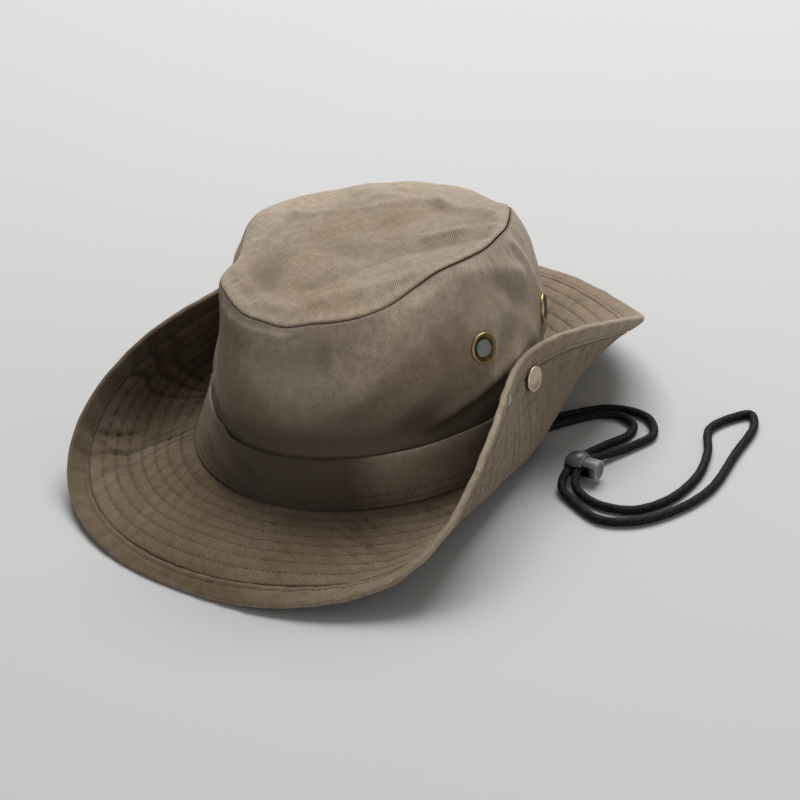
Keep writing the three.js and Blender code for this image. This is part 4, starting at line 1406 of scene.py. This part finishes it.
def brim_relief(angle, run, offset):
    """Channels at the stitched rows, swells between them, puckers across, and wash creases."""
    at = run + row_wander(angle)
    nearest = np.abs(at[..., None] - QUILT_ROWS).min(-1)
    inside = smoothstep(1, 6, run) * (1 - smoothstep(BRIM_EDGE - 1.5, BRIM_EDGE, run))
    rows = np.exp(-((nearest / 0.75) ** 2))
    swell = np.clip(nearest / 3.4, 0, 1) ** 0.6
    drawn = closed_curve(DRAWN, angle)
    pucker = ripples(angle, run, 42, 26, (80, 170), (-0.12, 0.12))
    wave = ripples(angle, run, 44, 12, (5, 14), (-0.05, 0.05))
    small = (0.07 + 0.1 * drawn) * pucker * (0.4 + 0.6 * rows + 0.3 * (1 - swell))
    quilt = QUILT_SWELL * swell - QUILT_DEPTH * rows
    upper = QUILT_SWELL + (1 + 0.8 * drawn) * quilt + small - 1.05 * brim_net(angle, run)[0]
    under = 0.1 * quilt + 0.5 * small + 0.3 * brim_streaks(angle, run)
    shared = 0.35 * wave + 0.3 * drawn * ripples(angle, run, 47, 16, (14, 40), (0.05, 0.3))
    return inside * np.where(offset > 0, upper + shared, under - shared)


def brim_runs():
    """Rows of the brim's grid: five at each channel, two between, and a few at both ends."""
    near_rows = (QUILT_ROWS[:, None] + np.array([-1.1, -0.5, 0, 0.5, 1.1])).ravel()
    between = (QUILT_ROWS[:-1] + QUILT_ROWS[1:]) / 2
    inner = [-TUCK + 1.2, -0.5, 1.5, 3, 4.8]
    outer = [51.5, 53.5, 55.0]
    return np.sort(np.concatenate([inner, near_rows, between - 1.2, between + 1.2, outer]))


# %% Points of the brim
BRIM_LAST = BRIM_EDGE - SEAM_GAP / 2 - BRIM_CLOTH / 2
brim_profile = ring_profile(brim_runs(), brim_runs(), BRIM_CLOTH, -TUCK + BRIM_CLOTH / 2, BRIM_LAST)
brim_run, brim_offset = brim_profile[:, 0], brim_profile[:, 1]
brim_lift = brim_relief(brim_angle[:, None], brim_run[None, :], -brim_offset[None, :])
brim_points = ring_points(brim_middle, brim_angle, brim_profile, brim_lift * np.sign(brim_offset))


# %% Where the brim is dark and where it is worn
def flat_cut(profile, columns):
    """Where each point of the brim lay on the flat cloth that it was cut from."""
    runs = np.append(profile[:, 0], profile[0, 0])[None, :]
    angle = (np.arange(columns + 1) / columns * 2 * np.pi)[:, None]
    x, y = (CROWN_WIDTH / 2 + runs) * np.sin(angle), (CROWN_LENGTH / 2 + runs) * np.cos(angle)
    return np.stack([x, y], 2)


def brim_marks():
    """Shade and the paling mask of the brim.

    Shade is painted shade in the channel of each row and in the valleys of the net, a painted
    shadow where the hem steps onto the brim, the dark joint at the foot of the band and the painted
    shade of the brim table. The paling mask holds painted highlights on the crown of each swell,
    on the crests of the net and from the brim table. The under face has painted light and shade
    along its streaks instead of a net.
    """
    upper, under = brim_offset < 0, brim_offset >= 0
    from_row = np.abs(brim_run[:, None] - QUILT_ROWS).min(1)
    drawn = closed_curve(DRAWN, brim_angle)[:, None]
    row_painted_shade = closed_curve(ROW_PAINTED_SHADE, brim_angle)[:, None] * upper
    brim_painted_light = closed_curve(BRIM_PAINTED_LIGHT, brim_angle)[:, None]
    valleys, crests = brim_net(brim_angle[:, None], brim_run[None, :])
    streaks = brim_streaks(brim_angle[:, None], brim_run[None, :])
    shade = row_painted_shade * channel(from_row, 0, 0.3 + 0.3 * drawn)
    shade = shade + 0.6 * smoothstep(BRIM_LAST - 0.2, BRIM_LAST + 1, brim_run)
    shade = np.maximum(shade, 0.85 * (1 - smoothstep(0, 1.1, brim_run)))
    shade = shade + upper * (NET_SHADE * valleys + brim_painted_light)
    shade = shade + under * STREAK_LIGHT_AND_SHADE * smoothstep(-0.4, -1.6, streaks)
    wear_and_highlight = 0.08 * np.clip(from_row / 3.4, 0, 1) ** 2
    wear_and_highlight = wear_and_highlight + under * STREAK_LIGHT_AND_SHADE * smoothstep(0.2, 1.4, streaks)
    wear_and_highlight = wear_and_highlight + upper * (NET_HIGHLIGHT * crests + np.maximum(-brim_painted_light, 0))
    return {"shade": shade, "wear_and_highlight": wear_and_highlight}


# %% Brim cloth
brim_uv = flat_cut(brim_profile, BRIM_COLUMNS)
brim_mesh = surface("brim", brim_points, brim_uv, close_rows=True, masks=brim_marks())
brim_piece = add_piece("brim_cloth", brim_mesh, "hat", "quilted_twill", SHADED_QUILTING, "brim")

# %% [markdown]
# The hem is a strip of the same twill folded over the brim's edge. It is thicker than the brim,
# full and rounded, sewn down just inside its inner edge by one row, and its outer edge is where
# the hat is rubbed palest.

# %% Hem
HEM_ROW = BRIM_EDGE + 2.1
HEM_SHADE_DEPTH = 1.3
HEM_FIRST = BRIM_EDGE + SEAM_GAP / 2 + HEM_CLOTH / 2 - 0.9
HEM_LAST = BRIM_WIDTH - HEM_CLOTH / 2
beside_row = HEM_ROW + np.array([-0.7, 0, 0.7])
hem_runs = np.unique(np.concatenate([np.linspace(HEM_FIRST, HEM_LAST, 13), beside_row]))
hem_profile = ring_profile(hem_runs, hem_runs, HEM_CLOTH, HEM_FIRST, HEM_LAST)


def hem_relief(angle, run, offset):
    """Pulled in at its row, full between that and the edge, with puckers and slow waves."""
    row = channel(run, HEM_ROW, 0.7)
    full = np.clip(np.sin(np.pi * (run - BRIM_EDGE - 2) / (HEM_WIDTH - 1)), 0, 1)
    pucker = ripples(angle, run, 51, 24, (90, 190), (-0.15, 0.15)) * channel(run, BRIM_EDGE + 3, 4)
    crease = ripples(angle, run, 52, 16, (25, 80), (-0.2, 0.2))
    local = 0.22 * full - 0.2 * row + 0.12 * pucker
    return np.sign(offset) * local - 0.25 * crease * (np.abs(offset) / (HEM_CLOTH / 2))


hem_lift = hem_relief(brim_angle[:, None], hem_profile[None, :, 0], hem_profile[None, :, 1])
hem = ring_points(lambda a, r: brim_middle(a, r, HEM_CLOTH), brim_angle, hem_profile, hem_lift)
hem_run = hem_profile[:, 0]
# Painted shadow where the hem's inner edge steps down onto the brim, and painted shade in the groove of its
# stitched row.
hem_shade = 0.45 * (1 - smoothstep(HEM_FIRST - 1.4, HEM_FIRST - 0.5, hem_run))
hem_shade = np.maximum(hem_shade, 0.2 * channel(hem_run, HEM_ROW, 0.5))
hem_wear = 0.85 * smoothstep(HEM_LAST + 0.2, BRIM_WIDTH - 0.3, hem_run) + 0.1
hem_uv = flat_cut(hem_profile, BRIM_COLUMNS)[..., ::-1] * [1, -1]
# Painted shade and painted highlight on the hem, by angle.
hem_painted_light = closed_curve(HEM_PAINTED_LIGHT, brim_angle)[:, None]
hem_masks = {"shade": hem_shade + HEM_SHADE_DEPTH * hem_painted_light, "wear_and_highlight": hem_wear - hem_painted_light}
hem_mesh = surface("brim_hem", hem, hem_uv, close_rows=True, masks=hem_masks)
hem_piece = add_piece("hem_cloth", hem_mesh, "hat", "quilted_twill", SHADED_QUILTING, "brim_hem")

# %% [markdown]
# ## Stitches
#
# A row of stitches is a few hundred short threads, each pulled into the cloth at its two ends.
# Making them as one joined mesh keeps the file small and lets them catch the light. Each thread
# is a tube along four points taken from the cloth's own grid, so it follows every pucker.

# %% Joined tubes
def joined_tubes(name, paths, ups, radii, sides, shade=None):
    """One mesh of many closed tubes: paths[tube, step], an upper direction for each, radii[step]."""
    count, steps = paths.shape[:2]
    ahead = np.gradient(paths, axis=1)
    ahead /= np.linalg.norm(ahead, axis=2, keepdims=True)
    side = np.cross(ahead, ups)
    side /= np.linalg.norm(side, axis=2, keepdims=True)
    up = np.cross(side, ahead)
    turn = np.arange(sides) / sides * 2 * np.pi
    ring = np.cos(turn)[:, None] * side[:, :, None] + np.sin(turn)[:, None] * up[:, :, None]
    vertices = (paths[:, :, None] + radii[..., None, None] * ring).reshape(-1, 3)
    vertices[:, 2] = np.maximum(vertices[:, 2], FLOOR_CLEAR)
    s, k = (a.ravel() for a in np.meshgrid(np.arange(steps - 1), np.arange(sides), indexing="ij"))
    after = (k + 1) % sides
    quads = np.stack([s * sides + k, (s + 1) * sides + k, (s + 1) * sides + after, s * sides + after], 1)
    caps = np.concatenate([np.arange(sides), (steps - 1) * sides + np.arange(sides)[::-1]])
    template = np.concatenate([quads.ravel(), caps])
    corners = (np.arange(count)[:, None] * steps * sides + template).ravel()
    totals = np.tile(np.concatenate([np.full(len(quads), 4), [sides, sides]]), count)
    first = vertices[: steps * sides]
    one = len(quads) + 2
    if not points_outward(first, template, totals[:one]):
        starts = np.repeat(np.cumsum(totals) - totals, totals)
        corners = corners[starts + np.repeat(totals, totals) - 1 - (np.arange(len(corners)) - starts)]
    masks = None if shade is None else {"shade": np.full(len(vertices), shade)}
    return mesh_from(name, vertices, corners, totals, masks=masks)


# %% Rows of stitches on a ring of cloth
STITCH, STITCH_GAP, THREAD_WIDTH = 2.1, 0.7, 0.4
STITCH_STEPS = np.array([0, 0.2, 0.8, 1])
STITCH_DEPTH = np.array([-0.32, 0.1, 0.1, -0.32])
STITCH_RADII = np.array([0.5, 1, 1, 0.5]) * THREAD_WIDTH / 2
STITCH_SIDES = 5


def face_of(points, profile, side):
    """One face of a ring of cloth: its points and the run of each of its rows, rising."""
    rows = np.flatnonzero(profile[:, 1] * side > 0.98 * np.abs(profile[:, 1]).max())
    rows = rows[np.argsort(profile[rows, 0])]
    return points[:, rows], profile[rows, 0]


def stitch_row(face, runs, at, side):
    """Even stitches along the row at a run, which may drift: their steps and upper directions."""
    columns = len(face)
    at = np.broadcast_to(at, columns)
    place = np.clip(np.searchsorted(runs, at) - 1, 0, len(runs) - 2)
    share = ((at - runs[place]) / (runs[place + 1] - runs[place]))[:, None]
    k = np.arange(columns)
    line = face[k, place] * (1 - share) + face[k, place + 1] * share
    normal = sheet_normals(face)[k, place] * side
    line, normal = (np.concatenate([a, a[:1]]) for a in (line, normal))
    length = np.concatenate([[0], np.cumsum(np.linalg.norm(np.diff(line, axis=0), axis=1))])
    count = int(length[-1] / (STITCH + STITCH_GAP))
    starts = np.arange(count) / count * length[-1]
    steps = starts[:, None] + STITCH_STEPS * STITCH
    paths = np.stack([np.interp(steps, length, line[:, axis], period=length[-1]) for axis in range(3)], 2)
    ups = np.stack([np.interp(steps, length, normal[:, axis], period=length[-1]) for axis in range(3)], 2)
    return paths + ups * STITCH_DEPTH[:, None], ups


def add_stitches(name, rows, slot, thread):
    """All threads of some rows as one piece."""
    paths, ups = (np.concatenate([row[part] for row in rows]) for part in (0, 1))
    mesh = joined_tubes(name, paths, ups, STITCH_RADII, STITCH_SIDES)
    return add_piece(name, mesh, "hat", slot, thread)


# %% Sewing the rows
for side, label, thread in ((-1, "upper", THREAD), (1, "under", FADED_THREAD)):
    brim_face, brim_face_runs = face_of(brim_points, brim_profile, side)
    drift = row_wander(brim_angle)
    rows = [stitch_row(brim_face, brim_face_runs, at - drift, side) for at in QUILT_ROWS]
    add_stitches(f"quilting_{label}", rows, "quilted_twill", thread)
    hem_face, hem_face_runs = face_of(hem, hem_profile, side)
    rows = [stitch_row(hem_face, hem_face_runs, HEM_ROW, side)]
    add_stitches(f"hem_stitches_{label}", rows, "quilted_twill", THREAD)
band_face, band_face_runs = face_of(band, band_profile, 1)
rows = [stitch_row(band_face, band_face_runs, at, 1) for at in BAND_ROWS]
add_stitches("band_stitches", rows, "twill", THREAD)

# %% [markdown]
# ## Vents
#
# An eyelet is a turned ring with a rolled rim and a funnel down to its bore, pressed through
# the wall. A profile carried round an axis makes it, then a turn and a shift put it in its
# place. The screen in its bore is woven wire: each wire rises and sinks as a sine over the
# wires that it crosses, and is cut off where the round bore ends.

# %% Turned pieces
def place_on(points, centre, normal):
    """Puts points made about the Z axis on a place of the hat, with Z along its normal."""
    across = np.cross([0.0, 0.0, 1.0], normal)
    across /= np.linalg.norm(across)
    up = np.cross(normal, across)
    return centre + points[..., :1] * across + points[..., 1:2] * up + points[..., 2:] * normal


def turned(name, profile, sides, centre, normal, wear_and_highlight, poles=False):
    """The profile of (radius, height) places, carried once round its axis."""
    profile = np.array(profile, float)
    turn = np.arange(sides)[:, None] / sides * 2 * np.pi
    radius, height = profile[None, :, 0], profile[None, :, 1]
    points = np.stack(np.broadcast_arrays(radius * np.cos(turn), radius * np.sin(turn), height), 2)
    placed = place_on(points, centre, normal)
    masks = {"wear_and_highlight": np.array(wear_and_highlight, float)[None, :]}
    return surface(name, placed, close_rows=not poles, poles=poles, masks=masks)


def arc(middle_radius, middle_height, reach, from_degrees, to_degrees, steps):
    """Places on a round corner of a profile, as (radius, height)."""
    turn = np.radians(np.linspace(from_degrees, to_degrees, steps))
    return [(middle_radius + reach * math.cos(t), middle_height + reach * math.sin(t)) for t in turn]


# %% Eyelets
EYELET_OUTER, EYELET_BORE, EYELET_WALL = 15.5, 8.8, 0.6
EYELET_SIDES = 64
BARREL = VENT_SEAT + CROWN_CLOTH / 2 + SEAM_GAP
SCREEN_RADIUS, SCREEN_DEPTH = EYELET_BORE / 2 - 0.1, 0.2
WIRE_SPACING, WIRE_WIDTH, WIRE_STEPS, WIRE_SIDES = 0.62, 0.3, 40, 5


def eyelet_profile():
    """Up the rolled rim, over its crest, down the funnel to the bore and the barrel's end."""
    rim = arc(EYELET_OUTER / 2 - 0.62, 0.48, 0.62, -80, 160, 12)
    funnel = [(6.3, 0.72), (5.6, 0.35), (4.9, -0.1), (4.3, -0.6), (EYELET_BORE / 2 - 0.35, -1.0)]
    barrel = [(EYELET_BORE / 2, -1.4), (EYELET_BORE / 2, -BARREL + 0.3), (4.7, -BARREL)]
    barrel += [(EYELET_BORE / 2 + EYELET_WALL, -BARREL + 0.3)]
    back = [(EYELET_BORE / 2 + EYELET_WALL, -0.5), (5.4, -0.14), (EYELET_OUTER / 2 - 0.8, -0.14)]
    bright = [0.1] + [0.55] * 2 + [0.9] * 4 + [0.5] * 2 + [0.15] * 3 + [0] * 5 + [0.1] * 7
    return rim + funnel + barrel + back, bright


def woven_wires(radius, spacing, wire, steps):
    """Wires both ways, each a chord of the circle, waving over and under the ones it crosses."""
    offsets = np.arange(-int(radius / spacing), int(radius / spacing) + 1) * spacing
    half = np.sqrt(np.maximum(radius**2 - offsets**2, 0.09))
    along = np.linspace(-1, 1, steps)[None, :] * half[:, None]
    row = np.arange(len(offsets))[:, None]
    lift = 0.5 * wire * np.sin(np.pi * along / spacing + np.pi * row + np.pi / 2)
    across = np.broadcast_to(offsets[:, None], along.shape)
    one = np.stack([along, across, lift], 2)
    other = np.stack([across, along, -lift], 2)
    return np.concatenate([one, other])


for vent, (centre, normal) in VENTS.items():
    profile, bright = eyelet_profile()
    seat = centre + normal * VENT_SEAT
    ring = turned(f"eyelet_{vent}", profile, EYELET_SIDES, seat, normal, bright)
    add_piece(f"brass_eyelet_{vent}", ring, "hat", "brass", BRASS, f"eyelet_{vent}")
    flat_screen = woven_wires(SCREEN_RADIUS, WIRE_SPACING, WIRE_WIDTH, WIRE_STEPS)
    wires = place_on(flat_screen, seat - SCREEN_DEPTH * normal, normal)
    lifts = np.broadcast_to(normal, wires.shape)
    screen = joined_tubes(f"screen_{vent}", wires, lifts, np.full(WIRE_STEPS, WIRE_WIDTH / 2), WIRE_SIDES)
    add_piece(f"wire_screen_{vent}", screen, "hat", "screen", WIRE, f"vent_screen_{vent}")

# %% [markdown]
# ## Snaps and cord tabs
#
# A cap is a shallow brass disc with a rolled edge on the outer face of the turned-up brim. Its
# stud, between the brim and the wall, keeps its own shape and takes the brass. Inside the hat
# each end of the cord is held by a folded tape, a rounded pad of twill.

# %% Snap caps
SNAP_CAP, SNAP_CAP_RISE, SNAP_FROM_EDGE, SNAP_GAP = 13, 1.9, 14, 0.9
CAP_SIDES = 64
SIDES = {"left": 90, "right": 270}


def brim_place(degrees, run):
    """Point and normal, out of the under face, of a place on the brim's middle surface."""
    angle = np.array([-0.004, 0, 0.004])[:, None] + np.radians(degrees)
    runs = np.array([-0.1, 0, 0.1])[None, :] + run
    patch = brim_middle(angle, runs)
    normal = np.cross(patch[1, 2] - patch[1, 0], patch[2, 1] - patch[0, 1])
    return patch[1, 1] + HAT_AT, normal / np.linalg.norm(normal)


def cap_profile():
    """From under the skirt, round the rolled edge, over a low dome to the middle."""
    edge = SNAP_CAP / 2
    foot = [(0, -1.1), (edge - 1.6, -1.1), (edge - 1.0, -0.5)]
    rim = arc(edge - 0.55, 0.55, 0.55, -90, 120, 9)
    dome = [(edge - 1.3, 1.0), (edge - 2.2, 1.22), (3.0, 1.62), (1.5, 1.84), (0, SNAP_CAP_RISE)]
    bright = [0.1] * 3 + [0.6] * 7 + [0.3] * 3 + [0.35] * 4
    return foot + rim + dome, bright


for side, degrees in SIDES.items():
    centre, normal = brim_place(degrees, BRIM_WIDTH - SNAP_FROM_EDGE)
    profile, bright = cap_profile()
    seat = centre + normal * (HEM_CLOTH / 2 + SNAP_GAP)
    cap = turned(f"snap_cap_{side}", profile, CAP_SIDES, seat, normal, bright, poles=True)
    add_piece(f"brass_cap_{side}", cap, "hat", "brass", CAP_BRASS, f"snap_cap_{side}")
    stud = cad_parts[f"snap_stud_{side}"].data
    stud.materials.clear()
    stud.materials.append(BRASS)

# %% Cord tabs
TAB_STEPS, TAB_SQUARENESS, TAB_WEAR = 40, 0.35, 0.1


def tab_points(node):
    """A superellipsoid in the tab's own box: round corners, flat faces, closed at its poles."""
    low, high = (np.array(corner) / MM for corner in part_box(node))
    middle, half = (low + high) / 2, (high - low) / 2
    turn = (np.arange(TAB_STEPS) / TAB_STEPS * 2 * np.pi)[:, None]
    tilt = np.linspace(-np.pi / 2, np.pi / 2, TAB_STEPS // 2 + 1)[None, :]

    def squared(value):
        return np.sign(value) * np.abs(value) ** TAB_SQUARENESS

    y = half[1] * squared(np.cos(tilt)) * squared(np.cos(turn))
    z = half[2] * squared(np.cos(tilt)) * squared(np.sin(turn))
    x = half[0] * squared(np.sin(tilt)) + 0 * turn
    return middle + np.stack(np.broadcast_arrays(x, y, z), 2)


for side in SIDES:
    tab = tab_points(f"cord_tab_{side}")
    tab_uv = np.concatenate([tab, tab[:1]])[..., 1:]
    tab_masks = {"wear_and_highlight": np.full(tab.shape[:2], TAB_WEAR)}
    tab_mesh = surface(f"cord_tab_{side}", tab, tab_uv, poles=True, masks=tab_masks)
    add_piece(f"folded_tab_{side}", tab_mesh, "hat", "twill", TWILL, f"cord_tab_{side}")

# %% [markdown]
# ## The cord lock
#
# The lock is a hollow plastic ball. The two strands of cord pass through it side by side, and a
# sprung button with two prongs grips them. A ball with holes is easiest to cut: the solids are
# made as arrays, Boolean modifiers take the holes out, and a small bevel softens the edges as
# a mould does. The modifiers are applied, so only the finished mesh is left.

# %% Sizes of the lock
LOCK_BALL, LOCK_BUTTON, LOCK_BUTTON_END, LOCK_TRAVEL = 14.4, 10.2, 11.8, 3
LOCK_MOUTH_WALL, RUNNING_GAP, CORD_GAP = 0.7, 0.3, 0.5
BALL_SIDES, BUTTON_SIDES, SLOT_STEPS = 96, 72, 32
BALL_BEVEL, BUTTON_BEVEL, SHARP_EDGE = 0.28, 0.12, math.radians(35)
STRAND_REACH = STRAND_OFFSET + CORD / 2 + CORD_GAP
SLOT_HEIGHT = CORD + 2 * CORD_GAP
BUTTON_BORE = LOCK_BUTTON / 2 + RUNNING_GAP
MOUTH = math.sqrt((LOCK_BALL / 2) ** 2 - (BUTTON_BORE + LOCK_MOUTH_WALL) ** 2)
BORE_BOTTOM = -math.sqrt((LOCK_BALL / 2 - LOCK_MOUTH_WALL) ** 2 - BUTTON_BORE**2)
ALONG_X = np.array([1.0, 0.0, 0.0])


# %% Cutting with Boolean modifiers
def turned_along_x(name, profile, sides):
    """A closed solid of (radius, distance along X from the lock's middle) places."""
    places = np.array(profile, float)
    return turned(name, places, sides, LOCK_AT, ALONG_X, np.zeros(len(places)), poles=True)


def slot_solid(name, x0, x1, height, length, corner):
    """A bar along Y whose section is a box with round corners, for cutting."""
    turn = np.linspace(0, 2 * np.pi, SLOT_STEPS + 1)[:-1]
    middle, half = np.array([(x0 + x1) / 2, 0]), np.array([(x1 - x0) / 2, height / 2])
    at = np.stack([np.cos(turn), np.sin(turn)], 1)
    section = np.sign(at) * (half - corner) + corner * at
    rows = np.array([-length, -length, length, length], float)
    scale = np.array([0, 1, 1, 0])[None, :, None]
    flat = middle + section[:, None] * scale
    points = np.stack([flat[..., 0], np.broadcast_to(rows, flat.shape[:2]), flat[..., 1]], 2) + LOCK_AT
    return surface(name, points, poles=True)


def cut(name, solid, cutters, bevel):
    """The solid less its cutters, with its sharp edges rounded, as a plain mesh."""
    block = bpy.data.objects.new(name, solid)
    bpy.context.scene.collection.objects.link(block)
    tools = []
    for cutter in cutters:
        tool = bpy.data.objects.new("cutter", cutter)
        bpy.context.scene.collection.objects.link(tool)
        tools.append(tool)
        taken = block.modifiers.new("cut", "BOOLEAN")
        taken.object, taken.operation, taken.solver = tool, "DIFFERENCE", "EXACT"
    soft = block.modifiers.new("soft", "BEVEL")
    soft.width, soft.segments = bevel * MM, 2
    soft.limit_method, soft.angle_limit = "ANGLE", SHARP_EDGE
    bpy.context.view_layer.update()
    shaped = block.evaluated_get(bpy.context.evaluated_depsgraph_get())
    finished = bpy.data.meshes.new_from_object(shaped)
    for done in (block, *tools):
        bpy.data.objects.remove(done)
    finished.name = name
    finished.shade_smooth()
    return finished


def add_wear_and_highlight(mesh, bright_at):
    """Stores the mask of rubbing and painted highlight of a cut mesh, worked out from where its points lie.
    """
    places = np.empty(len(mesh.vertices) * 3, np.float32)
    mesh.vertices.foreach_get("co", places)
    wear_and_highlight = np.clip(bright_at(places.reshape(-1, 3) / MM - LOCK_AT), 0, 1).astype(np.float32)
    if "wear_and_highlight" in mesh.attributes:
        mesh.attributes.remove(mesh.attributes["wear_and_highlight"])
    mesh.attributes.new("wear_and_highlight", "FLOAT", "POINT").data.foreach_set("value", wear_and_highlight)
    return mesh


# %% The ball
SLOT_CORNER = 2.4


def drill(name, bottom, radius, sides):
    """A rod along X from bottom to beyond the ball, for cutting."""
    profile = [(0, bottom), (radius, bottom), (radius, LOCK_BALL), (0, LOCK_BALL)]
    return turned_along_x(name, profile, sides)


def ball_wear(p):
    """Dark, with the rim of the mouth worn a little paler."""
    return 0.12 + 0.2 * channel(p[:, 0], MOUTH, 0.5)


half_turn = np.linspace(-np.pi / 2, np.pi / 2, BALL_SIDES // 2 + 1)
ball_profile = np.stack([LOCK_BALL / 2 * np.cos(half_turn), LOCK_BALL / 2 * np.sin(half_turn)], 1)
ball = turned_along_x("ball", ball_profile, BALL_SIDES)
beyond = drill("beyond", MOUTH, LOCK_BALL, BALL_SIDES // 2)
bore = drill("bore", BORE_BOTTOM, BUTTON_BORE, BUTTON_SIDES)
slot = slot_solid("slot", -STRAND_REACH, STRAND_REACH, SLOT_HEIGHT, LOCK_BALL, SLOT_CORNER)
ball_mesh = cut("lock_ball", ball, [beyond, bore, slot], BALL_BEVEL)
add_wear_and_highlight(ball_mesh, ball_wear)
add_piece("lock_ball", ball_mesh, "hat", "lock_plastic", PLASTIC, "cord_lock_body")

# %% The button
BUTTON_TIP = BORE_BOTTOM + RUNNING_GAP + LOCK_TRAVEL
PRONG_ROOT, PRONG_CORNER = STRAND_REACH + LOCK_TRAVEL, 1.2
BUTTON_ROUND, BUTTON_DISH = 0.6, 0.35
button_edge, round_at = LOCK_BUTTON / 2, LOCK_BUTTON_END - BUTTON_ROUND
button_profile = [(0, BUTTON_TIP), (button_edge, BUTTON_TIP), (button_edge, round_at)]
button_profile += arc(button_edge - BUTTON_ROUND, round_at, BUTTON_ROUND, 0, 90, 6)[1:]
button_profile += [(button_edge - 1.1, LOCK_BUTTON_END), (button_edge - 1.35, LOCK_BUTTON_END - BUTTON_DISH)]
button_profile += [(0, LOCK_BUTTON_END - BUTTON_DISH)]
button_rod = turned_along_x("button", button_profile, BUTTON_SIDES)
between_prongs = slot_solid("between", -LOCK_BALL, PRONG_ROOT, SLOT_HEIGHT, LOCK_BALL, PRONG_CORNER)
button_mesh = cut("lock_button", button_rod, [between_prongs], BUTTON_BEVEL)


def button_highlight(p):
    """Painted highlight: palest on the raised ring round the button's end, and a little less inside the
    ring.
    """
    end = smoothstep(LOCK_BUTTON_END - 0.9, LOCK_BUTTON_END - 0.4, p[:, 0])
    ring = smoothstep(button_edge - 1.4, button_edge - 1.1, np.hypot(p[:, 1], p[:, 2]))
    return 0.03 + end * (0.3 + 0.6 * ring)


add_wear_and_highlight(button_mesh, button_highlight)
add_piece("press_button", button_mesh, "lock_button", "lock_plastic", PLASTIC, "cord_lock_button")

# %% [markdown]
# ## A loose thread
#
# At the hem near the left snap the end of a pale thread stands out of the cloth. It is one tube
# along a small S.

# %% Loose thread
THREAD_END_AT = (106.0, 62.0)
LOOSE_WIDTH, LOOSE_STEPS, LOOSE_SIDES = 0.56, 14, 6
PALE_THREAD = thread_material("pale_thread", (0.55, 0.53, 0.5), (0.85, 0.83, 0.8))
thread_centre, thread_normal = brim_place(*THREAD_END_AT)
s = np.linspace(-1, 1, LOOSE_STEPS)
curl = np.stack([1.1 * np.sin(2.6 * s), 3.2 * s, 1.7 + 0.5 * np.cos(3 * s)], 1)
pale_path = place_on(curl, thread_centre, thread_normal)[None]
pale_up = np.broadcast_to(thread_normal, pale_path.shape)
pale_radii = np.full(LOOSE_STEPS, LOOSE_WIDTH / 2)
pale_mesh = joined_tubes("loose_thread", pale_path, pale_up, pale_radii, LOOSE_SIDES)
add_piece("loose_thread", pale_mesh, "hat", "quilted_twill", PALE_THREAD)

# %% [markdown]
# ## Last step
#
# The box of the solids and the box of the visual model that dresses them are both printed at
# the end. The visual model has to fill the same box as the solids that it dresses.

# %% Sizes and finish
bpy.context.view_layer.update()
boxes = {"cad": CAD_BOX, "visual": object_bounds()}
for name, (low, high) in boxes.items():
    print(name, "box:", [round((b - a) / MM, 1) for a, b in zip(low, high)], "mm")
